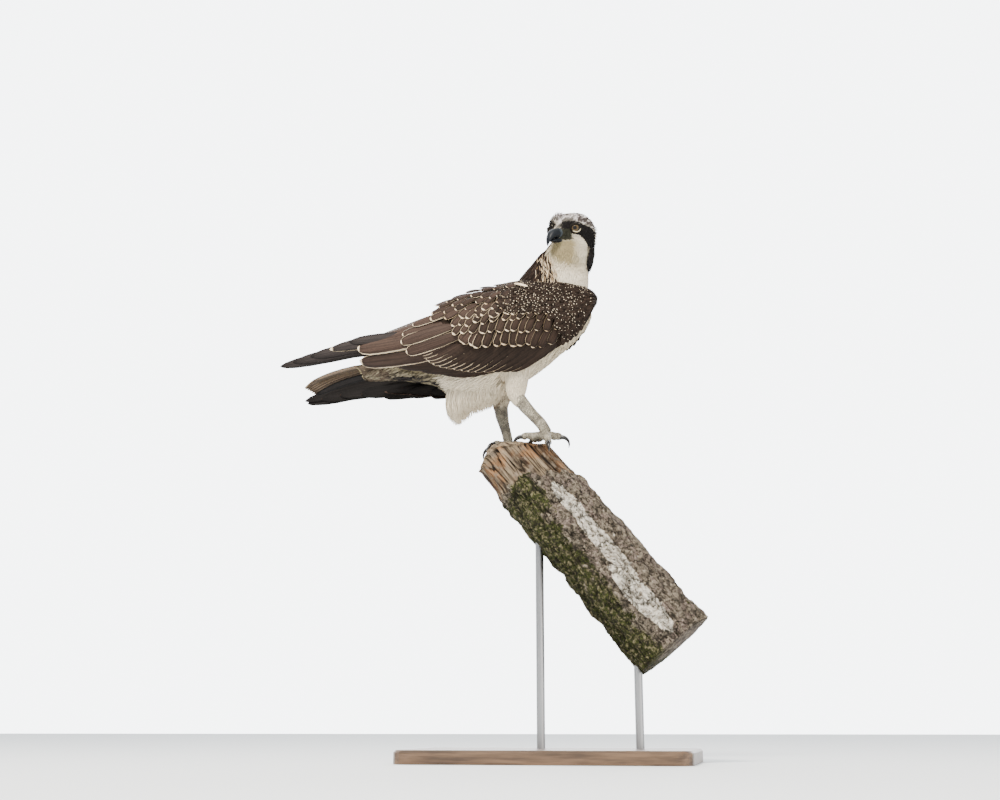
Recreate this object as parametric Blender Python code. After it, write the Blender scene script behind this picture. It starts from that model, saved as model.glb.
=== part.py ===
# A life-size young osprey standing on a cut length of branch, held by a plain display
# stand. Frame: +X is the way the body faces, +Y its left side, +Z up. The origin is the
# middle of the base's underside. The bird is modelled about its own origin, between its
# feet at the height of the soles, and an empty carries it, the branch and the claws.
import math
import random

import bpy
import numpy as np
from mathutils import Matrix, Vector

# Driving dimensions, in metres and degrees
SOLE_HEIGHT = 0.450
BIRD_SHIFT = 0.075
GAP = 0.0004
SHOULDER_X = 0.157
TAIL_ROOT_X = -0.160
TAIL_TIP_X = -0.312
LEFT_WING_DROOP = 3.2
LEFT_WING_BACK = 0.026
LEFT_WING_LENGTH = 0.957
VANE_THICKNESS = 0.0008
HEAD_CENTRE = Vector((0.1090, -0.010, 0.3270))
HEAD_YAW = -118.0
HEAD_PITCH = 13.0
HEAD_ROLL = -8.0
EYE_RADIUS = 0.0088
EYE_PLACE = Vector((0.0112, 0.0212, 0.0040))
BRANCH_ANGLE = 50.5
BRANCH_RADIUS = 0.0525
BRANCH_LENGTH = 0.385
BASE_SIZE = Vector((0.400, 0.240, 0.018))
BASE_CORNER = 0.020
ROD_RADIUS = 0.006
ROD_PLACES = (0.058, 0.196)

# Each node's colour, roughness and metallic value
FINISHES = {
    "brown": ((0.055, 0.034, 0.024), 0.75, 0.0),
    "white": ((0.72, 0.66, 0.55), 0.85, 0.0),
    "black": ((0.012, 0.012, 0.014), 0.35, 0.0),
    "amber": ((0.55, 0.33, 0.06), 0.10, 0.0),
    "grey": ((0.42, 0.42, 0.38), 0.60, 0.0),
    "bark": ((0.22, 0.18, 0.14), 0.90, 0.0),
    "board": ((0.16, 0.10, 0.06), 0.50, 0.0),
    "steel": ((0.35, 0.35, 0.36), 0.35, 1.0),
}


# Curves and points

def smooth_curve(knots):
    """A function through the knots, smooth and without overshoot between them."""
    pairs = sorted(knots)
    xs = np.array([k[0] for k in pairs], float)
    ys = np.array([k[1] for k in pairs], float)
    slope = np.diff(ys) / np.diff(xs)
    lean = np.zeros(len(xs))
    lean[0], lean[-1] = slope[0], slope[-1]
    for i in range(1, len(xs) - 1):
        if slope[i - 1] * slope[i] > 0:
            lean[i] = 2 * slope[i - 1] * slope[i] / (slope[i - 1] + slope[i])

    def value(x):
        x = min(max(x, xs[0]), xs[-1])
        i = min(int(np.searchsorted(xs, x, "right")) - 1, len(xs) - 2)
        h = xs[i + 1] - xs[i]
        t = (x - xs[i]) / h
        a = (1 + 2 * t) * (1 - t) ** 2 * ys[i] + t * t * (3 - 2 * t) * ys[i + 1]
        b = h * t * (1 - t) ** 2 * lean[i] - h * t * t * (1 - t) * lean[i + 1]
        return float(a + b)

    return value


def curves_of(rows):
    """One smooth curve for each column after the first, against the first."""
    return [smooth_curve([(r[0], r[c]) for r in rows]) for c in range(1, len(rows[0]))]


def along_line(knots, t):
    """The point at share t of a line through evenly spaced knots."""
    place = t * (len(knots) - 1)
    i = min(int(place), len(knots) - 2)
    return tuple(a + (b - a) * (place - i) for a, b in zip(knots[i], knots[i + 1]))


def clamp(value, low=0.0, high=1.0):
    return min(max(value, low), high)


# Meshes and Booleans

def clear_scene():
    for obj in list(bpy.data.objects):
        bpy.data.objects.remove(obj, do_unlink=True)


def finish_of(name, finish):
    colour, roughness, metallic = FINISHES[finish]
    material = bpy.data.materials.new(name)
    material.use_nodes = True
    shader = material.node_tree.nodes["Principled BSDF"]
    shader.inputs["Base Color"].default_value = (*colour, 1.0)
    shader.inputs["Roughness"].default_value = roughness
    shader.inputs["Metallic"].default_value = metallic
    return material


def mesh_object(name, points, faces, finish, parent=None):
    mesh = bpy.data.meshes.new(name)
    mesh.from_pydata([tuple(p) for p in points], [], faces)
    if finish:
        mesh.materials.append(finish_of(name, finish))
    obj = bpy.data.objects.new(name, mesh)
    bpy.context.scene.collection.objects.link(obj)
    obj.parent = parent
    if signed_volume(mesh) < 0:
        mesh.flip_normals()
    return obj


def signed_volume(mesh):
    total = 0.0
    for face in mesh.polygons:
        corners = [mesh.vertices[i].co for i in face.vertices]
        for i in range(1, len(corners) - 1):
            total += corners[0].dot(corners[i].cross(corners[i + 1]))
    return total / 6


def tube_mesh(rings, start_pole=None, end_pole=None, strips=False):
    """Points and triangles of a closed tube through rings of equal count.

    Its ends are fans round a pole or, on a thin bent section, strips across it.
    """
    count = len(rings[0])
    points = [Vector(p) for ring in rings for p in ring]
    faces = []
    for i in range(len(rings) - 1):
        for j in range(count):
            k = (j + 1) % count
            a, b = i * count + j, i * count + k
            c, d = (i + 1) * count + k, (i + 1) * count + j
            faces += [(a, b, c), (a, c, d)]
    last = (len(rings) - 1) * count
    for pole, first, turned in ((start_pole, 0, True), (end_pole, last, False)):
        if strips:
            for j in range(count // 2 - 1):
                a, b = first + j, first + j + 1
                c, d = first + count - 2 - j, first + count - 1 - j
                pair = [(a, b, c), (a, c, d)]
                faces += [t[::-1] if turned else t for t in pair]
            continue
        if pole is None:
            pole = sum(points[first:first + count], Vector()) / count
        points.append(Vector(pole))
        tip = len(points) - 1
        for j in range(count):
            a, b = first + j, first + (j + 1) % count
            faces.append((b, a, tip) if turned else (a, b, tip))
    return points, faces


def tube_object(name, rings, finish, parent=None, start_pole=None, end_pole=None):
    points, faces = tube_mesh(rings, start_pole, end_pole)
    return mesh_object(name, points, faces, finish, parent)


def grown_copy(obj, by):
    """A copy whose faces all lie by outside the object's own."""
    copy = obj.copy()
    copy.data = obj.data.copy()
    bpy.context.scene.collection.objects.link(copy)
    copy.data.update()
    normals = [v.normal.copy() for v in copy.data.vertices]
    for vertex, normal in zip(copy.data.vertices, normals):
        vertex.co += normal * by
    return copy


def settle(obj):
    """Applies the object's modifiers to its mesh."""
    graph = bpy.context.evaluated_depsgraph_get()
    made = bpy.data.meshes.new_from_object(obj.evaluated_get(graph))
    obj.modifiers.clear()
    obj.data = made


def combine(obj, others, operation, solver="EXACT"):
    """Joins or cuts the object with the others in one step, then removes them."""
    group = bpy.data.collections.new("operands")
    bpy.context.scene.collection.children.link(group)
    for other in others:
        group.objects.link(other)
    modifier = obj.modifiers.new("solid", "BOOLEAN")
    modifier.operand_type = "COLLECTION"
    modifier.collection = group
    modifier.operation = operation
    modifier.solver = solver
    settle(obj)
    for other in list(others):
        bpy.data.objects.remove(other, do_unlink=True)
    bpy.data.collections.remove(group)
    keep_largest(obj)


def keep_largest(obj):
    """Keeps only the largest closed surface of the object's mesh."""
    mesh = obj.data
    leader = list(range(len(mesh.polygons)))

    def root(i):
        while leader[i] != i:
            leader[i] = leader[leader[i]]
            i = leader[i]
        return i

    met = {}
    for face in mesh.polygons:
        for key in face.edge_keys:
            leader[root(face.index)] = root(met.setdefault(key, face.index))
    groups = {}
    for face in mesh.polygons:
        groups.setdefault(root(face.index), []).append(face)
    if len(groups) < 2:
        return

    def reach(faces):
        spots = np.array([mesh.vertices[i].co for f in faces for i in f.vertices])
        return float(np.prod(spots.max(0) - spots.min(0) + 1e-6))

    best = max(groups.values(), key=reach)
    used = sorted({i for f in best for i in f.vertices})
    index = {old: new for new, old in enumerate(used)}
    points = [mesh.vertices[i].co.copy() for i in used]
    faces = [tuple(index[i] for i in f.vertices) for f in best]
    kept = bpy.data.meshes.new(mesh.name)
    kept.from_pydata(points, [], faces)
    for material in mesh.materials:
        kept.materials.append(material)
    obj.data = kept


def keep_form(obj):
    """A hidden copy of the object before its neighbours are cut out of it."""
    form = obj.copy()
    form.data = obj.data.copy()
    form.name = obj.name + "_form"
    form.hide_render = True
    form.display_type = "WIRE"
    bpy.context.scene.collection.objects.link(form)


def cut_clear(obj, neighbours, by=GAP, solver="EXACT"):
    """Cuts the object back so that it keeps a thin gap to each neighbour."""
    cutters = []
    for neighbour in neighbours:
        form = bpy.data.objects.get(neighbour.name + "_form", neighbour)
        cutters.append(grown_copy(form, by))
    combine(obj, cutters, "DIFFERENCE", solver)


def remove_forms():
    for obj in list(bpy.data.objects):
        if obj.name.endswith("_form"):
            bpy.data.objects.remove(obj, do_unlink=True)


# Shapes shared by several nodes

def ring_at(centre, side, rise, low, sections, power=2.0, low_power=None):
    """A closed outline: side is its half width, rise and low its reach up and down."""
    ring = []
    for i in range(sections):
        turn = 2 * math.pi * i / sections
        c, s = math.cos(turn), math.sin(turn)
        bend = power if s > 0 or low_power is None else low_power
        across = math.copysign(abs(c) ** (2 / bend), c)
        along = math.copysign(abs(s) ** (2 / bend), s)
        ring.append(centre + side * across + (rise if s > 0 else low) * along)
    return ring


def limb(name, joints, finish, parent, sections=10, end_pole=None):
    """A round limb through joints of (place, radius)."""
    places = [Vector(j[0]) for j in joints]
    rings = []
    for i, (_, radius) in enumerate(joints):
        ahead = places[min(i + 1, len(places) - 1)]
        behind = places[max(i - 1, 0)]
        along = (ahead - behind).normalized()
        across = along.cross(Vector((0.03, 1, 0.02))).normalized()
        over = along.cross(across).normalized()
        rings.append(ring_at(places[i], across * radius, over * radius, over * radius, sections))
    return tube_object(name, rings, finish, parent, end_pole=end_pole)


# A vane's half width and lift at shares of its length, from the sunk root to the tip
VANE_STATIONS = (
    (0.00, 0.60, 0.00),
    (0.48, 0.95, 0.78),
    (0.90, 0.84, 1.00),
)


def vane(sheet, root, tip, half, lifts, roll=0.0, bow=0.0, extra=0):
    """A tapered feather vane on a curved sheet, with six points round each station.

    sheet(u, v, lift) gives a place, root and tip are (u, v), lifts are those at the root
    and at the tip, roll lifts the side that lies towards falling v, and extra adds
    stations where a long vane bends.
    """
    first, middle, last = VANE_STATIONS
    shares = [first, middle]
    for i in range(extra):
        t = (i + 1) / (extra + 1)
        shares.append((middle[0] + (last[0] - middle[0]) * t, 1.0, 0.9 + 0.1 * t))
    shares.append(last)
    step = 0.0005
    rings = []
    for share, width, rise in shares:
        u = root[0] + (tip[0] - root[0]) * share
        v = root[1] + (tip[1] - root[1]) * share + bow * 4 * share * (1 - share)
        lift = lifts[0] + (lifts[1] - lifts[0]) * rise
        here = sheet(u, v, lift)
        by_u = (sheet(u + step, v, lift) - here) / step
        by_v = (sheet(u, v + step, lift) - here) / step
        out = (sheet(u, v, lift + step) - here).normalized()
        along = by_u * (tip[0] - root[0]) + by_v * (tip[1] - root[1] + bow * 4 * (1 - 2 * share))
        across = out.cross(along).normalized()
        if across.dot(by_v) > 0:
            across.negate()
        grid = Matrix(((by_u.dot(by_u), by_u.dot(by_v)), (by_u.dot(by_v), by_v.dot(by_v))))
        turn = grid.inverted() @ Vector((by_u.dot(across), by_v.dot(across)))
        top, bottom = [], []
        for side in (-1, 0, 1):
            reach = side * half * width
            spot = (u + turn[0] * reach, v + turn[1] * reach)
            top.append(sheet(*spot, lift + roll * reach + VANE_THICKNESS / 2))
            bottom.append(sheet(*spot, lift + roll * reach - VANE_THICKNESS / 2))
        rings.append((top, bottom))
    return vane_faces(rings, sheet(tip[0], tip[1], lifts[1]))


def vane_faces(rings, pole):
    """Closes a vane's rings, with its top and bottom split into triangles alike."""
    points, faces = [], []
    for top, bottom in rings:
        points += top + bottom
    last = len(rings) - 1
    for i in range(last):
        a, b = i * 6, (i + 1) * 6
        for j in (0, 1):
            diagonal = j == 0
            for base, turned in ((0, False), (3, True)):
                p, q = a + base + j, a + base + j + 1
                r, s = b + base + j + 1, b + base + j
                pair = [(p, q, r), (p, r, s)] if diagonal else [(p, q, s), (q, r, s)]
                faces += [t[::-1] if turned else t for t in pair]
        faces += [(a, b, b + 3), (a, b + 3, a + 3)]
        faces += [(a + 2, a + 5, b + 5), (a + 2, b + 5, b + 2)]
    faces += [(0, 4, 1), (0, 3, 4), (1, 4, 5), (1, 5, 2)]
    points.append(pole)
    end, n = last * 6, len(points) - 1
    faces += [(end, end + 1, n), (end + 1, end + 2, n), (end + 2, end + 5, n)]
    faces += [(end + 5, end + 4, n), (end + 4, end + 3, n), (end + 3, end, n)]
    return points, faces


def vane_object(made, parent=None):
    return mesh_object("vane", made[0], made[1], None, parent)


def flat_sheet(origin, forward, side):
    """A flat sheet for locks: u runs forward, v to the side, lift along their cross."""
    forward, side = Vector(forward).normalized(), Vector(side).normalized()
    out = forward.cross(side).normalized()

    def place(u, v, lift):
        return Vector(origin) + forward * u + side * v + out * lift

    return place


# Torso: (x, back height, belly height, half width)
TORSO = (
    (0.138, 0.207, 0.190, 0.012),
    (0.131, 0.226, 0.177, 0.028),
    (0.112, 0.238, 0.156, 0.042),
    (0.090, 0.243, 0.137, 0.051),
    (0.046, 0.242, 0.104, 0.058),
    (0.000, 0.235, 0.082, 0.059),
    (-0.030, 0.226, 0.074, 0.057),
    (-0.055, 0.214, 0.074, 0.053),
    (-0.080, 0.201, 0.090, 0.047),
    (-0.110, 0.184, 0.101, 0.039),
    (-0.160, 0.152, 0.110, 0.029),
)
back_z, belly_z, flank_y = curves_of(TORSO)
TORSO_STATIONS = (0.138, 0.132, 0.121, 0.106, 0.086, 0.060, 0.030, 0.000, -0.030, -0.054,
                  -0.072, -0.090, -0.120, -0.160)

# Rows of white feather locks on the belly: count, half spread and root and tip (x, z)
VENT_ROWS = (
    (5, 0.024, (-0.014, 0.092), (-0.068, 0.050), 0.0095),
    (4, 0.022, (-0.040, 0.096), (-0.080, 0.069), 0.0105),
    (4, 0.020, (-0.068, 0.108), (-0.118, 0.094), 0.0095),
    (3, 0.014, (-0.104, 0.114), (-0.196, 0.102), 0.0095),
)


def build_torso(bird):
    rings = []
    for x in TORSO_STATIONS:
        top, bottom = back_z(x), belly_z(x)
        middle = bottom + 0.53 * (top - bottom)
        rings.append(ring_at(
            Vector((x, 0, middle)), Vector((0, flank_y(x), 0)),
            Vector((0, 0, top - middle)), Vector((0, 0, middle - bottom)), 18, 2.15, 1.85,
        ))
    torso = tube_object("torso", rings, "white", bird, start_pole=Vector((0.1405, 0, 0.196)))
    keep_form(torso)
    locks = []
    draw = random.Random(11)
    for count, spread, root, tip, half in VENT_ROWS:
        for i in range(count):
            side = 2 * i / (count - 1) - 1
            y = side * spread
            start = Vector((root[0], y, root[1] + 0.35 * abs(y)))
            end = Vector((tip[0] + draw.uniform(-0.004, 0.004), y * 1.15, tip[1] + 0.25 * abs(y)))
            run = end - start
            sheet = flat_sheet(start, run, Vector((0, 1, 0.4 * side)))
            lift = 0.0013 * (i % 2)
            locks.append(vane_object(
                vane(sheet, (0, 0), (run.length, 0), half, (lift, lift)), bird))
    combine(torso, locks, "UNION", "MANIFOLD")
    return torso


# Neck: (z, middle x, middle y, reach fore and aft, half width)
NECK = (
    (0.200, 0.076, 0.000, 0.0540, 0.048),
    (0.235, 0.077, 0.000, 0.0600, 0.050),
    (0.255, 0.083, 0.000, 0.0555, 0.044),
    (0.267, 0.088, -0.001, 0.0505, 0.041),
    (0.277, 0.0935, -0.003, 0.0460, 0.038),
    (0.288, 0.0990, -0.005, 0.0420, 0.035),
    (0.300, 0.1060, -0.006, 0.0370, 0.031),
    (0.309, 0.1095, -0.008, 0.0330, 0.029),
    (0.315, 0.1100, -0.009, 0.0240, 0.021),
)
neck_x, neck_y, neck_reach, neck_side = curves_of(NECK)


def build_neck(bird, neighbours):
    rings = []
    for z in (0.200, 0.235, 0.255, 0.271, 0.286, 0.300, 0.309, 0.315):
        side = Vector((0, neck_side(z), 0))
        middle = Vector((neck_x(z), neck_y(z), z))
        rings.append(ring_at(middle, Vector((neck_reach(z), 0, 0)), side, side, 18))
    neck = tube_object("neck", rings, "white", bird)
    keep_form(neck)
    cut_clear(neck, neighbours)
    return neck


# Head, in its own frame: (x, crown height, throat height, half width)
HEAD = (
    (-0.0425, 0.0040, -0.0180, 0.0090),
    (-0.0380, 0.0165, -0.0290, 0.0190),
    (-0.0280, 0.0265, -0.0350, 0.0275),
    (-0.0130, 0.0315, -0.0370, 0.0315),
    (0.0020, 0.0315, -0.0340, 0.0308),
    (0.0120, 0.0265, -0.0285, 0.0255),
    (0.0200, 0.0190, -0.0225, 0.0190),
    (0.0270, 0.0115, -0.0185, 0.0140),
    (0.0315, 0.0070, -0.0160, 0.0112),
)
crown_z, throat_z, cheek_y = curves_of(HEAD)
HEAD_STATIONS = (-0.0425, -0.038, -0.028, -0.017, -0.005, 0.006, 0.014, 0.0215, 0.0270, 0.0315)

# Bill, in the head's frame: (x, ridge height, cutting edge height, half width)
BILL_UPPER = (
    (0.0250, 0.0060, -0.0095, 0.0102),
    (0.0320, 0.0052, -0.0092, 0.0096),
    (0.0390, 0.0040, -0.0098, 0.0086),
    (0.0450, 0.0010, -0.0115, 0.0072),
    (0.0500, -0.0040, -0.0140, 0.0056),
    (0.0535, -0.0100, -0.0180, 0.0040),
    (0.0550, -0.0155, -0.0215, 0.0024),
)
BILL_LOWER = (
    (0.0240, -0.0100, -0.0168, 0.0086),
    (0.0320, -0.0098, -0.0168, 0.0080),
    (0.0400, -0.0106, -0.0164, 0.0066),
    (0.0450, -0.0122, -0.0162, 0.0048),
)
NAPE_LOCKS = 5


def head_place():
    yaw = Matrix.Rotation(math.radians(HEAD_YAW), 4, "Z")
    pitch = Matrix.Rotation(math.radians(HEAD_PITCH), 4, "Y")
    roll = Matrix.Rotation(math.radians(HEAD_ROLL), 4, "X")
    return Matrix.Translation(HEAD_CENTRE) @ yaw @ pitch @ roll


def carried_by_head(obj):
    obj.matrix_local = head_place()
    bpy.context.view_layer.update()


def eye_spot(sign):
    return Vector((EYE_PLACE.x, sign * EYE_PLACE.y, EYE_PLACE.z))


def eye_facing(sign):
    return Vector((0.42, sign * 0.90, 0.02)).normalized()


def lid_ring(sign, bird):
    """A raised lid round the eye's opening, thicker above, where the brow is."""
    facing = eye_facing(sign)
    up = (Vector((0, 0, 1)) - facing * facing.z).normalized()
    side = facing.cross(up).normalized()
    centre = eye_spot(sign) + facing * 0.0046
    rings = []
    count = 14
    for i in range(count):
        turn = 2 * math.pi * i / count
        spoke = side * math.cos(turn) + up * math.sin(turn)
        thick = 0.0013 + 0.0009 * max(0.0, math.sin(turn))
        middle = centre + spoke * 0.0078
        rings.append([
            middle + spoke * thick * math.cos(a) + facing * thick * math.sin(a)
            for a in (0.0, math.pi / 2, math.pi, 1.5 * math.pi)
        ])
    points = [p for ring in rings for p in ring]
    faces = []
    for i in range(count):
        k = (i + 1) % count
        for j in range(4):
            m = (j + 1) % 4
            faces += [(i * 4 + j, i * 4 + m, k * 4 + m), (i * 4 + j, k * 4 + m, k * 4 + j)]
    lid = mesh_object("lid", points, faces, None, bird)
    lid.matrix_local = head_place()
    return lid


def brow_ridge(sign, bird):
    """The shelf over the eye, a long low swelling from the bill's base to the ear."""
    joints = []
    for t in (0.0, 0.25, 0.5, 0.75, 1.0):
        place = Vector((0.0225 - 0.030 * t, sign * (0.0112 + 0.0118 * math.sin(1.8 * t)),
                        0.0106 + 0.0034 * math.sin(2.4 * t)))
        joints.append((place, 0.0015 + 0.0021 * math.sin(math.pi * (0.10 + 0.75 * t))))
    ridge = limb("ridge", joints, None, bird, 7)
    ridge.matrix_local = head_place()
    return ridge


def mouth_groove(sign, bird):
    """The line of the mouth behind the bill, curving down below the eye."""
    joints = []
    for t in (0.0, 0.5, 1.0):
        joints.append((
            Vector((0.0335 - 0.017 * t, sign * (0.0098 + 0.0115 * t), -0.0092 - 0.0022 * t * t)),
            0.0012 - 0.0004 * t,
        ))
    groove = limb("groove", joints, None, bird, 6)
    groove.matrix_local = head_place()
    return groove


def build_head(bird):
    rings = []
    for x in HEAD_STATIONS:
        middle = 0.42 * crown_z(x) + 0.58 * throat_z(x) + 0.004
        rings.append(ring_at(
            Vector((x, 0, middle)), Vector((0, cheek_y(x), 0)),
            Vector((0, 0, crown_z(x) - middle)), Vector((0, 0, middle - throat_z(x))), 20, 2.05, 2.7,
        ))
    head = tube_object("head", rings, "white", bird, start_pole=Vector((-0.0440, 0, -0.007)))
    carried_by_head(head)
    keep_form(head)
    added = [lid_ring(s, bird) for s in (1, -1)] + [brow_ridge(s, bird) for s in (1, -1)]
    for i in range(NAPE_LOCKS):
        share = 2 * i / (NAPE_LOCKS - 1) - 1
        start = Vector((-0.022 + 0.004 * share * share, 0.015 * share, 0.021 - 0.005 * abs(share)))
        end = start + Vector((-0.021, 0.004 * share, -0.011 + 0.003 * (i % 2)))
        sheet = flat_sheet(start, end - start, Vector((0, 1, -0.5 * share)))
        lift = 0.0012 * (i % 2)
        lock = vane_object(
            vane(sheet, (0, 0), ((end - start).length, 0), 0.0052, (lift, lift)), bird)
        lock.matrix_local = head_place()
        added.append(lock)
    bpy.context.view_layer.update()
    combine(head, added, "UNION", "MANIFOLD")
    combine(head, [mouth_groove(s, bird) for s in (1, -1)], "DIFFERENCE")
    return head


def nostril(sign, bird):
    joints = [(Vector((0.0312, sign * 0.0112, 0.0004)), 0.0011),
              (Vector((0.0345, sign * 0.0096, 0.0014)), 0.0013)]
    slit = limb("slit", joints, None, bird, 6)
    slit.matrix_local = head_place()
    bpy.context.view_layer.update()
    return slit


def build_bill(bird, head):
    nodes = []
    for name, rows in (("bill_upper", BILL_UPPER), ("bill_lower", BILL_LOWER)):
        ridge, edge, side = curves_of(rows)
        rings = []
        for x in np.linspace(rows[0][0], rows[-1][0], 8):
            middle = Vector((x, 0, 0.5 * (ridge(x) + edge(x))))
            half = Vector((0, 0, 0.5 * (ridge(x) - edge(x))))
            rings.append(ring_at(middle, Vector((0, side(x), 0)), half, half, 12, 2.2))
        tip = Vector((0.0556, 0, -0.0240)) if name == "bill_upper" else Vector((0.0475, 0, -0.0146))
        obj = tube_object(name, rings, "black", bird, end_pole=tip)
        carried_by_head(obj)
        keep_form(obj)
        cut_clear(obj, [head])
        nodes.append(obj)
    combine(nodes[0], [nostril(1, bird), nostril(-1, bird)], "DIFFERENCE")
    cut_clear(nodes[1], [nodes[0]])
    return nodes


def build_eyes(bird, head):
    eyes = []
    for name, sign in (("eye_left", 1), ("eye_right", -1)):
        rings = []
        for i in range(1, 7):
            lift = math.pi * i / 7
            r = EYE_RADIUS * math.sin(lift)
            middle = Vector((0, 0, EYE_RADIUS * math.cos(lift)))
            rings.append(ring_at(middle, Vector((r, 0, 0)), Vector((0, r, 0)), Vector((0, r, 0)), 14))
        pole = Vector((0, 0, EYE_RADIUS))
        eye = tube_object(name, rings, "amber", bird, start_pole=pole, end_pole=-pole)
        eye.matrix_local = head_place() @ Matrix.Translation(eye_spot(sign))
        bpy.context.view_layer.update()
        eyes.append(eye)
    cut_clear(head, eyes)
    return eyes


# Wing envelope, the outermost surface of the folded wings:
# (x, middle height, half height, half width)
ENVELOPE = (
    (0.157, 0.196, 0.023, 0.051),
    (0.150, 0.192, 0.037, 0.065),
    (0.120, 0.182, 0.059, 0.080),
    (0.080, 0.172, 0.078, 0.087),
    (0.030, 0.165, 0.088, 0.089),
    (-0.030, 0.158, 0.087, 0.089),
    (-0.070, 0.153, 0.079, 0.087),
    (-0.110, 0.148, 0.068, 0.084),
    (-0.150, 0.144, 0.056, 0.080),
    (-0.200, 0.140, 0.042, 0.075),
    (-0.250, 0.136, 0.030, 0.070),
    (-0.322, 0.127, 0.016, 0.064),
)
envelope_z, envelope_b, envelope_a = curves_of(ENVELOPE)

# Wing body: (x, lower edge, upper edge), as angles round the envelope in degrees
WING_BODY = (
    (0.1550, 6, 42),
    (0.1530, -6, 46),
    (0.149, -18, 50),
    (0.144, -27, 54),
    (0.135, -36, 56),
    (0.121, -41, 58),
    (0.103, -45, 60),
    (0.080, -50, 66),
    (0.050, -53, 76),
    (0.030, -50, 80),
    (0.000, -40, 83),
    (-0.040, -28, 84),
    (-0.080, -14, 82),
    (-0.115, 0, 80),
)
low_edge, high_edge = curves_of(WING_BODY)
WING_STATIONS = (0.1550, 0.1520, 0.144, 0.129, 0.106, 0.076, 0.042, 0.006, -0.034, -0.075,
                 -0.115)

# How deep the wing body's surface lies under the envelope, against the angle
cover_depth = smooth_curve((
    (-60, 0.0150), (-25, 0.0138), (-18, 0.0125), (-8, 0.0082), (0, 0.0066), (8, 0.0052),
    (20, 0.0032), (60, 0.0026), (84, 0.0040),
))

# Feather tiers: count, tips and roots as lines of (x, degrees) from the rear forwards,
# half width, lift at the root and tip, roll, and extra stations along the vane
WING_TIERS = {
    "outer_secondaries": (7, ((-0.108, -20), (-0.083, -36), (-0.034, -45), (0.025, -52)),
                          ((-0.035, 2), (-0.005, -8), (0.045, -14), (0.108, -34)),
                          0.0132, -0.0185, -0.0115, 0.12, 0),
    "inner_primaries": (3, ((-0.182, -35), (-0.130, -43), (-0.080, -49)),
                        ((-0.010, -30), (0.015, -40), (0.040, -47)),
                        0.0090, -0.0220, -0.0160, 0.10, 2),
    "greater_coverts": (7, ((-0.038, -13), (-0.019, -20), (0.021, -22.5), (0.055, -27.5), (0.084, -36)),
                        ((-0.008, 11), (0.006, 8), (0.038, 8), (0.075, 2), (0.108, -10)),
                        0.0110, -0.0110, -0.0060, -0.11, 0),
    "median_coverts": (6, ((-0.044, -5), (-0.010, -6), (0.027, -9), (0.060, -12.5), (0.092, -21)),
                       ((-0.024, 18), (0.005, 18), (0.040, 15), (0.072, 11), (0.104, 2)),
                       0.0104, -0.0090, -0.0026, -0.10, 0),
    "lower_scapulars": (5, ((-0.080, 22), (-0.018, 9), (0.014, 0), (0.055, -3)),
                        ((-0.045, 31), (0.004, 27), (0.032, 21), (0.070, 18)),
                        0.0108, -0.0070, -0.0012, -0.09, 0),
    "upper_scapulars": (3, ((-0.084, 37), (-0.020, 27)), ((-0.048, 47), (0.012, 41)),
                        0.0108, -0.0060, -0.0008, -0.07, 0),
    "mantle_edge": (3, ((-0.098, 58), (0.006, 52)), ((-0.055, 66), (0.045, 62)),
                    0.0115, -0.0060, -0.0006, -0.06, 0),
}

# Tertials one by one: root, tip, half width, lift at root and tip
TERTIALS = (
    ((-0.070, 82), (-0.172, 84), 0.0150, -0.0120, -0.0220),
    ((-0.065, 60), (-0.190, 66), 0.0130, -0.0120, -0.0130),
    ((-0.060, 40), (-0.198, 45), 0.0110, -0.0120, -0.0080),
    ((-0.050, 2), (-0.2045, 14), 0.0170, -0.0130, -0.0065),
    ((-0.040, -15), (-0.2016, -27), 0.0120, -0.0160, -0.0082),
    ((-0.045, 27), (-0.1250, 20), 0.0095, -0.0080, -0.0020),
    ((-0.036, 13), (-0.1300, 3), 0.0100, -0.0100, -0.0033),
    ((-0.032, 0), (-0.1220, -14), 0.0100, -0.0115, -0.0046),
)

# Long primaries: tip (x, height off the fan's middle line), and their layer
PRIMARY_TIPS = ((-0.250, 0.0080), (-0.281, 0.0040), (-0.309, 0.0015), (-0.330, -0.0005))
PRIMARY_HALF = 0.0105
primary_z = smooth_curve(((-0.331, 0.129), (-0.246, 0.142), (-0.200, 0.148), (-0.060, 0.152)))
primary_depth = smooth_curve(((-0.331, 0.004), (-0.200, 0.010), (-0.130, 0.012), (-0.060, 0.021)))


def envelope_point(x, degrees, lift):
    """A point on the left side of the envelope, lifted outwards by lift."""
    turn = math.radians(degrees)
    a, b = envelope_a(x), envelope_b(x)
    outward = Vector((0, math.cos(turn) / a, math.sin(turn) / b)).normalized()
    return Vector((x, a * math.cos(turn), envelope_z(x) + b * math.sin(turn))) + outward * lift


def primary_point(x, height, lift):
    """A point on the upright, gently bowed sheet that the long primaries lie on."""
    y = envelope_a(x) - primary_depth(x) - height * height / 0.10
    return Vector((x, y + lift, primary_z(x) + height))


def body_lift(x, degrees):
    """Lift of the wing body's surface: bare at the shoulder, deep under the tiers."""
    low = clamp((0.120 - x) / 0.030)
    high = clamp((0.040 - x) / 0.035)
    share = low + (high - low) * clamp((degrees - 2) / 18)
    return -0.0007 - cover_depth(degrees) * share


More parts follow.
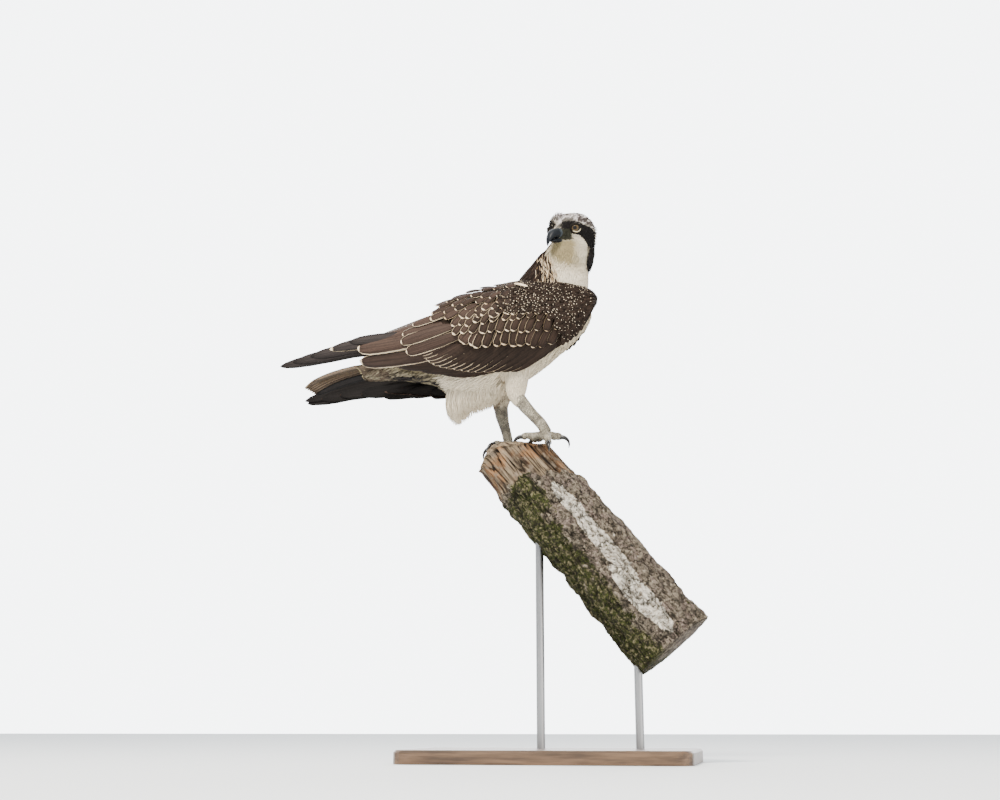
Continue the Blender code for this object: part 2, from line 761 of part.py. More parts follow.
def wing_body(name, tuck, mirror, bird):
    rings = []
    for x in WING_STATIONS:
        low, high = low_edge(x) + tuck(x), high_edge(x)
        thick = 0.034 * clamp(0.15 + (0.1565 - x) / 0.05) * clamp(0.25 + (x + 0.115) / 0.06)
        outer, inner = [], []
        for t in (0.0, 0.14, 0.30, 0.46, 0.62, 0.80, 1.0):
            degrees = low + (high - low) * t
            lift = body_lift(x, degrees)
            edge = 0.45 + 0.55 * min(1.0, 4 * t, 5 * (1 - t))
            outer.append(envelope_point(x, degrees, lift))
            inner.append(envelope_point(x, degrees, lift - thick * edge))
        rings.append([Vector((p.x, p.y * mirror, p.z)) for p in outer + inner[::-1]])
    points, faces = tube_mesh(rings, strips=True)
    return mesh_object(name, points, faces, "brown", bird)


def wing_vanes(tuck, mirror, bird):
    """All the feather vanes of one wing, as separate closed pieces."""

    def on_envelope(x, v, lift):
        spot = envelope_point(x, math.degrees(v) + tuck(x), lift)
        return Vector((spot.x, spot.y * mirror, spot.z))

    def on_fan(x, v, lift):
        spot = primary_point(x, v, lift)
        return Vector((spot.x, spot.y * mirror, spot.z))

    made = []
    draw = random.Random(5)
    for count, tips, roots, half, sunk, lift, roll, extra in WING_TIERS.values():
        for i in range(count):
            t = i / (count - 1)
            tip, root = along_line(tips, t), along_line(roots, t)
            vary = draw.uniform(-0.0025, 0.0025)
            made.append(vane(
                on_envelope, (root[0], math.radians(root[1])),
                (tip[0] + vary, math.radians(tip[1])), half, (sunk, lift), roll, extra=extra,
            ))
    for root, tip, half, sunk, lift in TERTIALS:
        made.append(vane(
            on_envelope, (root[0], math.radians(root[1])), (tip[0], math.radians(tip[1])),
            half, (sunk, lift), extra=1,
        ))
    for i, (x, height) in enumerate(PRIMARY_TIPS):
        layer = -0.0013 * i
        made.append(vane(
            on_fan, (-0.050, 0.002 * (1.5 - i)), (x, height), PRIMARY_HALF,
            (layer - 0.004, layer), extra=2,
        ))
    return [vane_object(m, bird) for m in made]


def build_wings(bird, neighbours):
    wings = []
    for name, mirror in (("wing_left", 1), ("wing_right", -1)):
        left = mirror > 0

        def tuck(x):
            return 34 * clamp(x / 0.1 + 0.2) * clamp((0.17 - x) / 0.03) if left else 0.0

        wing = wing_body(name, tuck, mirror, bird)
        combine(wing, wing_vanes(tuck, mirror, bird), "UNION", "MANIFOLD")
        if left:
            pivot = Vector((SHOULDER_X, 0, 0.19))
            wing.data.transform(
                Matrix.Translation(pivot - Vector((LEFT_WING_BACK, 0, 0)))
                @ Matrix.Rotation(math.radians(-LEFT_WING_DROOP), 4, "Y")
                @ Matrix.Scale(LEFT_WING_LENGTH, 4, Vector((1, 0, 0)))
                @ Matrix.Translation(-pivot)
            )
        cut_clear(wing, neighbours, solver="MANIFOLD")
        wings.append(wing)
    return wings


# Tail: feathers each side of the middle one, and how far apart they lie
TAIL_PAIRS = 3
TAIL_SPACING_TIP = 0.0068
TAIL_SPACING_ROOT = 0.0046
TAIL_ROLL = 0.25
tail_z = smooth_curve((
    (-0.316, 0.1060), (-0.285, 0.1195), (-0.254, 0.1300), (-0.222, 0.1365), (-0.190, 0.1400),
    (-0.160, 0.1415),
))


def tail_roll(x):
    return TAIL_ROLL * clamp((TAIL_ROOT_X - x) / 0.050)


def tail_point(x, y, lift):
    return Vector((x, y, tail_z(x) - tail_roll(x) * y - y * y / 0.16 + lift))


def build_tail(bird, torso):
    rings = []
    for x in (TAIL_ROOT_X - 0.0004, -0.178, -0.198, -0.218):
        t = (TAIL_ROOT_X - x) / 0.058
        reach = 0.0285 - 0.008 * t
        half = Vector((0, reach, -tail_roll(x) * reach))
        rise = Vector((0, 0, 0.0080 * (1 - t) ** 1.2 + 0.0008))
        low = Vector((0, 0, 0.0270 * (1 - t) ** 0.7 + 0.0025))
        rings.append(ring_at(Vector((x, 0, tail_z(x))), half, rise, low, 14))
    tail = tube_object("tail", rings, "brown", bird)
    vanes = []
    for i in range(-TAIL_PAIRS, TAIL_PAIRS + 1):
        lift = -0.0013 * abs(i)
        tip = (TAIL_TIP_X + 0.0022 * abs(i) + 0.0040 * max(0, -i), i * TAIL_SPACING_TIP)
        vanes.append(vane_object(vane(
            tail_point, (-0.172, i * TAIL_SPACING_ROOT), tip, 0.0082, (lift, lift), extra=1), bird))
    combine(tail, vanes, "UNION", "MANIFOLD")
    return tail


# Legs: thigh and shank joints of (place, radius), then each toe's length, bearing from
# ahead towards the outer side, droop and the height of its claw's root
LEGS = {
    "right": {
        "side": -1,
        "thigh": (((0.0360, -0.021, 0.135), 0.0225), ((0.0325, -0.023, 0.112), 0.0190),
                  ((0.0300, -0.025, 0.092), 0.0178), ((0.0298, -0.027, 0.077), 0.0155),
                  ((0.0322, -0.028, 0.0675), 0.0128), ((0.0360, -0.029, 0.0610), 0.0115)),
        "shank": (((0.0335, -0.029, 0.0665), 0.0100), ((0.0435, -0.0285, 0.0530), 0.0094),
                  ((0.0550, -0.028, 0.0395), 0.0084), ((0.0670, -0.027, 0.0260), 0.0082),
                  ((0.0745, -0.026, 0.0130), 0.0080)),
        "toes": ((0.020, 8, 0.003), (0.029, 76, 0.016), (0.034, 172, 0.000), (0.029, -140, 0.000)),
    },
    "left": {
        "side": 1,
        "thigh": (((0.0120, 0.024, 0.135), 0.0250), ((0.0070, 0.026, 0.115), 0.0215),
                  ((0.0005, 0.028, 0.098), 0.0185), ((-0.0040, 0.030, 0.084), 0.0155),
                  ((-0.0060, 0.031, 0.0745), 0.0135), ((-0.0055, 0.031, 0.0670), 0.0125)),
        "shank": (((-0.0060, 0.031, 0.0730), 0.0110), ((-0.0040, 0.031, 0.0560), 0.0100),
                  ((-0.0005, 0.031, 0.0410), 0.0082), ((0.0035, 0.031, 0.0260), 0.0074),
                  ((0.0065, 0.031, 0.0110), 0.0072)),
        "toes": ((0.036, 6, 0.000), (0.030, 60, 0.003), (0.028, 168, 0.000), (0.026, -130, 0.000)),
    },
}
TOE_RADIUS = 0.0058
CLAW_LENGTH = 0.0250
CLAW_RADIUS = 0.0034
CLAW_BEND = 118.0


def build_leg(bird, side, torso):
    spec = LEGS[side]
    thigh = limb(f"thigh_{side}", spec["thigh"], "white", bird, 14)
    keep_form(thigh)
    cut_clear(thigh, [torso])
    foot = limb(f"foot_{side}", spec["shank"], "grey", bird, 10)
    heel = Vector(spec["shank"][-1][0])
    toes, claws = [], []
    for number, (length, bearing, droop) in enumerate(spec["toes"], 1):
        turn = math.radians(bearing) * spec["side"]
        ahead = Vector((math.cos(turn), math.sin(turn), 0))
        joints = []
        for t, rise, width in ((0.0, 0.0, 1.15), (0.35, 0.0022, 0.95), (0.6, 0.0008, 1.08),
                               (0.85, 0.0022, 0.86), (1.0, 0.0, 0.95)):
            place = heel + ahead * length * t
            place.z = 0.0070 + rise - droop * t * t
            joints.append((place, TOE_RADIUS * width))
        toes.append(limb("toe", joints, None, bird, 7))
        end = joints[-1][0] + Vector((0, 0, 0.0004))
        claws.append(build_claw(f"claw_{side}_{number}", end, ahead, bird))
    combine(foot, toes, "UNION")
    keep_form(foot)
    cut_clear(foot, [thigh])
    for claw in claws:
        cut_clear(claw, [foot])
    return thigh, foot, claws


def build_claw(name, start, ahead, bird):
    """A strongly curved claw, round in section, from inside the toe's end to its point."""
    joints = []
    place = start + ahead * 0.001
    steps = 5
    for i in range(steps + 1):
        t = i / steps
        joints.append((place.copy(), CLAW_RADIUS * (1 - t) ** 0.75 + 0.0003))
        turn = math.radians(CLAW_BEND) * (t + 0.5 / steps) - 0.25
        place += (ahead * math.cos(turn) - Vector((0, 0, 1)) * math.sin(turn)) * CLAW_LENGTH / steps
    return limb(name, joints, "black", bird, 7)


# Branch, slanting away from under the feet, with a broken upper end

def branch_frame():
    slope = math.radians(BRANCH_ANGLE)
    along = Vector((math.cos(slope), 0, -math.sin(slope)))
    upper = Vector((math.sin(slope), 0, math.cos(slope)))
    return Vector((0.010, 0, 0.010)), along, upper


def broken_end(turn, reach):
    """Height of the broken end at an angle round the branch and a share of its radius."""
    left = max(0.0, -math.cos(turn) * reach - 0.15)
    jag = 0.0016 * math.sin(5 * turn + 1) + 0.0010 * math.sin(11 * turn)
    return 0.0005 - 0.044 * left ** 1.3 + jag * reach - 0.002 * (1 - reach)


def build_perch(bird, feet):
    start, along, upper = branch_frame()
    sections = 24
    turns = [2 * math.pi * i / sections for i in range(sections)]
    rim = {}
    rings = []
    for reach in (0.4, 0.75, 1.0):
        ring = []
        for turn in turns:
            knot = 1 + 0.035 * math.sin(3 * turn + 0.6) + 0.020 * math.sin(7 * turn)
            r = BRANCH_RADIUS * knot * reach
            foot = start + upper * (r * math.cos(turn)) + Vector((0, 1.06 * r * math.sin(turn), 0))
            t = (foot.z - broken_end(turn, reach)) / -along.z
            ring.append(foot + along * t)
            rim[turn] = (foot, t)
        rings.append(ring)
    for k in range(1, 10):
        share = k / 9
        ring = []
        for turn in turns:
            foot, t = rim[turn]
            place = t + (BRANCH_LENGTH - t) * share
            swell = 1 + 0.10 * share + 0.02 * math.sin(9 * share + 2 * turn) * (1 - share)
            ring.append(start + along * place + (foot - start) * swell)
        rings.append(ring)
    perch = tube_object("perch", rings, "bark", bird)
    cut_clear(perch, feet)
    return perch


# Display stand

def build_stand(perch):
    half = BASE_SIZE / 2
    rings = []
    for inset, z in ((0, 0), (0, BASE_SIZE.z - 0.003), (0.003, BASE_SIZE.z)):
        ring = []
        for index, (sx, sy) in enumerate(((-1, -1), (1, -1), (1, 1), (-1, 1))):
            middle = Vector((sx * (half.x - BASE_CORNER), sy * (half.y - BASE_CORNER), z))
            for step in range(5):
                turn = math.radians(180 + 90 * index + 22.5 * step)
                ring.append(middle + Vector((math.cos(turn), math.sin(turn), 0)) * (BASE_CORNER - inset))
        rings.append(ring)
    base = tube_object("stand_base", rings, "board")
    rods = []
    for number, x in enumerate(ROD_PLACES, 1):
        across, over = Vector((ROD_RADIUS, 0, 0)), Vector((0, ROD_RADIUS, 0))
        rings = [
            ring_at(Vector((x - BIRD_SHIFT, 0, z)), across, over, over, 16)
            for z in (BASE_SIZE.z + 0.0003, SOLE_HEIGHT - 0.020)
        ]
        rod = tube_object(f"stand_rod_{number}", rings, "steel")
        cut_clear(rod, [perch])
        rods.append(rod)
    return [base] + rods


def shade_smooth():
    for obj in bpy.data.objects:
        if obj.type == "MESH":
            obj.data.shade_smooth()
            obj.data.set_sharp_from_angle(angle=math.radians(40))


def main():
    clear_scene()
    bird = bpy.data.objects.new("bird", None)
    bpy.context.scene.collection.objects.link(bird)
    bird.location = (-BIRD_SHIFT, 0, SOLE_HEIGHT)
    bpy.context.view_layer.update()
    torso = build_torso(bird)
    head = build_head(bird)
    bills = build_bill(bird, head)
    eyes = build_eyes(bird, head)
    neck = build_neck(bird, [torso, head] + eyes + bills)
    tail = build_tail(bird, torso)
    thighs, feet = [], []
    for side in ("right", "left"):
        thigh, foot, claws = build_leg(bird, side, torso)
        thighs.append(thigh)
        feet += [foot] + claws
    build_wings(bird, [torso, neck, tail] + thighs)
    perch = build_perch(bird, feet)
    build_stand(perch)
    remove_forms()
    shade_smooth()
    bpy.context.view_layer.update()


main()
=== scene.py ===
import math

import bpy
import numpy as np
from mathutils import Matrix, Vector


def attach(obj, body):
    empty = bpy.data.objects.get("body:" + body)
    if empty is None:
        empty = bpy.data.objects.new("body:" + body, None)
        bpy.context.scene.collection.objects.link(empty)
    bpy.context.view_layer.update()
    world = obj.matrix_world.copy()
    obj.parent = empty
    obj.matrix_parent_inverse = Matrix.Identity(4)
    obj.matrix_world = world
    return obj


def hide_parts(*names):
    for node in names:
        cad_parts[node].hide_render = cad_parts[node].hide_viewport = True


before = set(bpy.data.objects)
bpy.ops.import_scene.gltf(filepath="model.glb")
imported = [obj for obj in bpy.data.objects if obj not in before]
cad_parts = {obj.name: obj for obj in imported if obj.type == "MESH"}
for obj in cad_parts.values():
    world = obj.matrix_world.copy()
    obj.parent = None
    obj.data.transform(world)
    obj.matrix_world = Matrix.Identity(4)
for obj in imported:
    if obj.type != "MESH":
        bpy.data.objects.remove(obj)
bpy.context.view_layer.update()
print("frame loaded")

birdShift = np.array([-0.075, 0.0, 0.450])


# Small tools

def clampTo(value, low=0.0, high=1.0):
    return np.minimum(np.maximum(value, low), high)


def smoothStep(low, high, value):
    """0 below low and 1 above high, with a soft rise between: t * t * (3 - 2 t)."""
    t = clampTo((value - low) / (high - low))
    return t * t * (3 - 2 * t)


def mixOf(a, b, share):
    """a where share is 0 and b where it is 1."""
    return a + (b - a) * share


def unitOf(vectors):
    return vectors / np.maximum(np.linalg.norm(vectors, axis=-1, keepdims=True), 1e-12)


def smoothCurve(knots):
    """A monotone cubic through the knots, read from a fine table by linear interpolation."""
    pairs = sorted(knots)
    xs = np.array([k[0] for k in pairs], float)
    ys = np.array([k[1] for k in pairs], float)
    slope = np.diff(ys) / np.diff(xs)
    lean = np.zeros(len(xs))
    lean[0], lean[-1] = slope[0], slope[-1]
    same = slope[:-1] * slope[1:] > 0
    total = np.where(same, slope[:-1] + slope[1:], 1.0)
    lean[1:-1] = np.where(same, 2 * slope[:-1] * slope[1:] / total, 0.0)
    fine = np.linspace(xs[0], xs[-1], 600)
    i = np.clip(np.searchsorted(xs, fine, "right") - 1, 0, len(xs) - 2)
    h = xs[i + 1] - xs[i]
    t = (fine - xs[i]) / h
    values = (1 + 2 * t) * (1 - t) ** 2 * ys[i] + t * t * (3 - 2 * t) * ys[i + 1]
    values += h * t * (1 - t) ** 2 * lean[i] - h * t * t * (1 - t) * lean[i + 1]
    return lambda x: np.interp(x, fine, values)


def curvesOf(rows):
    return [smoothCurve([(r[0], r[c]) for r in rows]) for c in range(1, len(rows[0]))]


def hashOf(cells, seed):
    """A number from 0 to 1 for each whole cell, from a sine of a weighted sum."""
    mixed = cells[..., 0] * 127.1 + cells[..., 1] * 311.7 + cells[..., 2] * 74.7 + seed * 53.3
    wave = np.sin(mixed) * 43758.5453
    return wave - np.floor(wave)


def noiseAt(points, seed=0):
    """Value noise from 0 to 1: hashed corners of unit cells, blended softly between."""
    cell = np.floor(points)
    t = points - cell
    t = t * t * (3 - 2 * t)
    total = 0.0
    for dx in (0, 1):
        for dy in (0, 1):
            for dz in (0, 1):
                corner = hashOf(cell + np.array([dx, dy, dz]), seed)
                weight = (t[..., 0] if dx else 1 - t[..., 0])
                weight = weight * (t[..., 1] if dy else 1 - t[..., 1])
                weight = weight * (t[..., 2] if dz else 1 - t[..., 2])
                total = total + corner * weight
    return total


def layeredNoise(points, octaves=4, seed=0):
    """Value noise summed at doubled scales and halved strengths, from 0 to 1."""
    total, strength, size = 0.0, 0.5, 1.0
    for octave in range(octaves):
        total = total + strength * noiseAt(points * size, seed + octave)
        strength *= 0.5
        size *= 2.03
    return total / (1 - 0.5 ** octaves)


# Meshes

def meshFromArrays(name, points, quads, tris, material, smooth=True, shift=True):
    """One object from whole arrays of corners, four-cornered and three-cornered faces."""
    points = np.asarray(points, float).reshape(-1, 3)
    if shift:
        points = points + birdShift
    quads = np.asarray(quads, int).reshape(-1, 4)
    tris = np.asarray(tris, int).reshape(-1, 3)
    mesh = bpy.data.meshes.new(name)
    mesh.vertices.add(len(points))
    mesh.vertices.foreach_set("co", points.ravel())
    loops = np.concatenate([quads.ravel(), tris.ravel()])
    totals = np.concatenate([np.full(len(quads), 4), np.full(len(tris), 3)])
    starts = np.concatenate([[0], np.cumsum(totals)[:-1]])
    mesh.loops.add(len(loops))
    mesh.loops.foreach_set("vertex_index", loops)
    mesh.polygons.add(len(totals))
    mesh.polygons.foreach_set("loop_start", starts)
    mesh.polygons.foreach_set("loop_total", totals)
    mesh.polygons.foreach_set("use_smooth", np.full(len(totals), smooth))
    mesh.update(calc_edges=True)
    mesh.materials.append(material)
    obj = bpy.data.objects.new(name, mesh)
    bpy.context.scene.collection.objects.link(obj)
    return obj


def volumeSign(points, quads):
    """The sign of the volume inside the quads, split into two triangles each."""
    p = np.asarray(points).reshape(-1, 3)
    p = p - p.mean(0)
    a, b, c, d = (p[quads[:, i]] for i in range(4))
    total = np.einsum("ij,ij->i", a, np.cross(b, c)).sum()
    total += np.einsum("ij,ij->i", a, np.cross(c, d)).sum()
    return 1 if total > 0 else -1


def addVector(obj, name, values):
    layer = obj.data.attributes.new(name, "FLOAT_VECTOR", "POINT")
    layer.data.foreach_set("vector", np.asarray(values, np.float32).ravel())


def addColour(obj, name, values):
    layer = obj.data.attributes.new(name, "FLOAT_COLOR", "POINT")
    layer.data.foreach_set("color", np.asarray(values, np.float32).ravel())


def addMap(obj, name, perPoint):
    """A UV map that gives each face corner its point's place."""
    loops = np.empty(len(obj.data.loops), int)
    obj.data.loops.foreach_get("vertex_index", loops)
    layer = obj.data.uv_layers.new(name=name)
    layer.data.foreach_set("uv", np.asarray(perPoint, np.float32)[loops].ravel())


def settle(obj):
    graph = bpy.context.evaluated_depsgraph_get()
    made = bpy.data.meshes.new_from_object(obj.evaluated_get(graph))
    obj.modifiers.clear()
    obj.data = made


def keepPiece(obj, nodes):
    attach(obj, "root")
    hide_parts(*nodes)
    return obj


def tubeGrid(rings, startPole, endPole):
    """Points, quads and end triangles of a closed tube through an array of rings."""
    steps, count = rings.shape[:2]
    index = np.arange(steps * count).reshape(steps, count)
    nextOne = np.roll(index, -1, 1)
    quads = np.stack([index[:-1], nextOne[:-1], nextOne[1:], index[1:]], -1).reshape(-1, 4)
    points = np.concatenate([rings.reshape(-1, 3), [startPole], [endPole]])
    start, end = len(points) - 2, len(points) - 1
    tris = np.concatenate([
        np.stack([nextOne[0], index[0], np.full(count, start)], -1),
        np.stack([index[-1], nextOne[-1], np.full(count, end)], -1),
    ])
    if volumeSign(points, quads) < 0:
        quads, tris = quads[:, ::-1], tris[:, ::-1]
    return points, quads, tris


# Materials

def newMaterial(name):
    material = bpy.data.materials.new(name)
    material.use_nodes = True
    tree = material.node_tree
    shader = tree.nodes["Principled BSDF"]
    return material, tree, shader


class Nodes:
    """Short calls for the nodes of one material."""

    def __init__(self, tree):
        self.tree = tree

    def make(self, kind, **settings):
        node = self.tree.nodes.new(kind)
        for key, value in settings.items():
            setattr(node, key, value)
        return node

    def join(self, source, target):
        if hasattr(source, "is_output") or hasattr(source, "links"):
            self.tree.links.new(source, target)
        else:
            target.default_value = source

    def maths(self, operation, a, b=0.0, c=None, clamp=False):
        node = self.make("ShaderNodeMath", operation=operation, use_clamp=clamp)
        self.join(a, node.inputs[0])
        self.join(b, node.inputs[1])
        if c is not None:
            self.join(c, node.inputs[2])
        return node.outputs[0]

    def attribute(self, name):
        return self.make("ShaderNodeAttribute", attribute_name=name)

    def split(self, vector):
        node = self.make("ShaderNodeSeparateXYZ")
        self.join(vector, node.inputs[0])
        return node.outputs

    def merge(self, x, y, z):
        node = self.make("ShaderNodeCombineXYZ")
        for value, socket in zip((x, y, z), node.inputs):
            self.join(value, socket)
        return node.outputs[0]

    def mix(self, share, a, b, blend="MIX"):
        node = self.make("ShaderNodeMix", data_type="RGBA", blend_type=blend)
        self.join(share, node.inputs[0])
        self.join(a, node.inputs[6])
        self.join(b, node.inputs[7])
        return node.outputs[2]

    def ramp(self, value, low, high, fromValue=0.0, toValue=1.0):
        node = self.make("ShaderNodeMapRange", interpolation_type="SMOOTHSTEP")
        for socket, given in zip(node.inputs, (value, low, high, fromValue, toValue)):
            self.join(given, socket)
        return node.outputs[0]

    def noise(self, vector, scale, detail=3.0, roughness=0.55):
        node = self.make("ShaderNodeTexNoise")
        self.join(vector, node.inputs["Vector"])
        node.inputs["Scale"].default_value = scale
        node.inputs["Detail"].default_value = detail
        node.inputs["Roughness"].default_value = roughness
        return node.outputs["Fac"]

    def scaled(self, vector, factors):
        node = self.make("ShaderNodeVectorMath", operation="MULTIPLY")
        self.join(vector, node.inputs[0])
        node.inputs[1].default_value = factors
        return node.outputs[0]

    def bump(self, height, strength, distance, normal=None):
        node = self.make("ShaderNodeBump")
        node.inputs["Strength"].default_value = strength
        node.inputs["Distance"].default_value = distance
        self.join(height, node.inputs["Height"])
        if normal is not None:
            self.join(normal, node.inputs["Normal"])
        return node.outputs[0]


def featherMaterial(name, roughness=0.72, barbs=26.0, barbDepth=0.0002):
    """Reads each vane's own place: a core colour that darkens towards a pale fringe, which is
    strong at the tip and as strong down the sides as the vane asks, cross bars where asked,
    a fine shaft and slanting barbs that shade and dent it."""
    material, tree, shader = newMaterial(name)
    n = Nodes(tree)
    across, along, seed = n.split(n.attribute("vane").outputs["Vector"])
    fringe = n.attribute("fringe")
    tipShare, barCount, barStrength = n.split(n.attribute("marks").outputs["Vector"])
    sideShare, spot, gloom = n.split(n.attribute("rim").outputs["Vector"])
    side = n.maths("ABSOLUTE", across)
    toEdge = n.maths("SUBTRACT", 1.0, side)
    toTip = n.maths("MULTIPLY", n.maths("SUBTRACT", 1.0, along), tipShare)
    ownPlace = n.merge(across, along, n.maths("MULTIPLY", seed, 37.0))
    wander = n.noise(ownPlace, 5.0, 3.0)
    ragged = n.maths("MULTIPLY_ADD", wander, 0.14, -0.07)
    width = fringe.outputs["Alpha"]
    soft = n.maths("MULTIPLY", width, 0.55)
    atTip = n.maths("SUBTRACT", 1.0, n.ramp(n.maths("ADD", toTip, ragged), soft, width))
    atTip = n.maths("MULTIPLY", atTip, n.ramp(side, spot, n.maths("ADD", spot, 0.25), 1.0, 0.0))
    narrow = n.maths("MULTIPLY", width, 0.62)
    atSide = n.maths("SUBTRACT", 1.0, n.ramp(n.maths("ADD", toEdge, ragged), n.maths("MULTIPLY", narrow, 0.5), narrow))
    atSide = n.maths("MULTIPLY", atSide, n.maths("MULTIPLY", sideShare, n.ramp(along, 0.1, 0.75, 0.25, 1.0)))
    share = n.maths("MAXIMUM", atTip, atSide)
    slant = n.merge(
        n.maths("MULTIPLY_ADD", side, -0.30, along), n.maths("MULTIPLY", across, 0.12),
        n.maths("MULTIPLY", seed, 11.0),
    )
    streak = n.noise(slant, barbs * 2.2, 3.0, 0.65)
    lengthwise = n.noise(n.merge(n.maths("MULTIPLY", across, 3.0), n.maths("MULTIPLY", along, 0.8),
                                 n.maths("MULTIPLY", seed, 53.0)), 2.2, 3.0, 0.6)
    bars = n.maths("SINE", n.maths("MULTIPLY_ADD", ragged, 3.0, n.maths("MULTIPLY", along, barCount)))
    bars = n.maths("MULTIPLY", n.ramp(bars, 0.0, 0.7), barStrength)
    core = n.mix(bars, n.attribute("tint").outputs["Color"], fringe.outputs["Color"])
    shade = n.maths("MULTIPLY", n.ramp(streak, 0.25, 0.75, 0.74, 1.22), n.ramp(lengthwise, 0.25, 0.75, 0.62, 1.42))
    shade = n.maths("MULTIPLY", shade, n.ramp(n.maths("MINIMUM", toEdge, toTip), 0.10, 0.75, gloom, 1.15))
    core = n.mix(1.0, core, n.merge(shade, shade, shade), "MULTIPLY")
    light = n.ramp(streak, 0.2, 0.8, 0.82, 1.10)
    rim = n.mix(1.0, fringe.outputs["Color"], n.merge(light, light, light), "MULTIPLY")
    shaft = n.ramp(side, 0.012, 0.045, 0.55, 0.0)
    core = n.mix(shaft, core, n.mix(0.3, core, (0.006, 0.004, 0.003, 1.0)))
    n.join(n.mix(share, core, rim), shader.inputs["Base Color"])
    shader.inputs["Roughness"].default_value = roughness
    shader.inputs["Specular IOR Level"].default_value = 0.10
    n.join(n.bump(streak, 0.6, barbDepth), shader.inputs["Normal"])
    return material


# Feather vanes

vaneShapes = {
    "round": ((0.0, 0.45, 0.00), (0.22, 0.80, 0.42), (0.50, 0.98, 0.78), (0.74, 1.00, 0.93),
              (0.90, 0.78, 1.00), (0.975, 0.42, 1.00), (1.0, 0.10, 1.00)),
    "blunt": ((0.0, 0.50, 0.00), (0.20, 0.82, 0.40), (0.45, 0.98, 0.75), (0.70, 1.02, 0.92),
              (0.87, 0.96, 1.00), (0.95, 0.74, 1.00), (0.988, 0.40, 1.00), (1.0, 0.10, 1.00)),
    "long": ((0.0, 0.35, 0.00), (0.12, 0.70, 0.30), (0.26, 0.92, 0.60), (0.42, 1.00, 0.80),
             (0.58, 1.00, 0.92), (0.72, 0.97, 1.00), (0.83, 0.88, 1.00), (0.91, 0.72, 1.00),
             (0.965, 0.48, 1.00), (0.99, 0.24, 1.00), (1.0, 0.06, 1.00)),
    "small": ((0.0, 0.40, 0.00), (0.35, 0.88, 0.60), (0.68, 1.00, 0.95), (0.90, 0.62, 1.00),
              (1.0, 0.12, 1.00)),
    "hair": ((0.0, 0.80, 0.00), (0.40, 1.00, 0.60), (0.75, 0.80, 0.95), (1.0, 0.10, 1.00)),
}


def ringOrder(across):
    """Side shares and face (1 above, -1 below, 0 at the rim) round one station."""
    top = np.linspace(-1, 1, across)
    face = np.where(np.abs(top) > 0.999, 0, 1)
    return np.concatenate([top, top[-2:0:-1]]), np.concatenate([face, -np.ones(across - 2)])


def vaneFaces(count, stations, ring, across):
    """Faces of count closed vanes whose points run vane by vane, station by station."""
    index = np.arange(stations * ring).reshape(stations, ring)
    nextOne = np.roll(index, -1, 1)
    quads = np.stack([index[:-1], nextOne[:-1], nextOne[1:], index[1:]], -1).reshape(-1, 4)
    tris = []
    for base, turned in ((0, True), ((stations - 1) * ring, False)):
        for j in range(across - 1):
            lower = [0 if k in (0, across - 1) else 2 * across - 2 - k for k in (j, j + 1)]
            corners = [j, j + 1]
            if 0 < j + 1 < across - 1:
                corners.append(lower[1])
            if 0 < j < across - 1:
                corners.append(lower[0])
            corners = [base + c for c in corners]
            for i in range(1, len(corners) - 1):
                face = (corners[0], corners[i], corners[i + 1])
                tris.append(face[::-1] if turned else face)
    offsets = (np.arange(count) * stations * ring)[:, None, None]
    quads = (quads[None] + offsets).reshape(-1, 4)
    tris = (np.array(tris)[None] + offsets).reshape(-1, 3)
    return quads, tris


def vaneAttributes(seeds, shape, across, looks):
    """Per-point place on the vane, core colour, fringe and marks, from per-vane looks."""
    stations = vaneShapes[shape]
    side, face = ringOrder(across)
    count, steps, ring = len(seeds), len(stations), len(side)
    place = np.empty((count, steps, ring, 3))
    place[..., 0] = side
    place[..., 1] = np.array([s[0] for s in stations])[None, :, None]
    place[..., 2] = seeds[:, None, None]
    spread = [np.repeat(np.asarray(v, float), steps * ring, axis=0) for v in looks]
    return place.reshape(-1, 3), spread


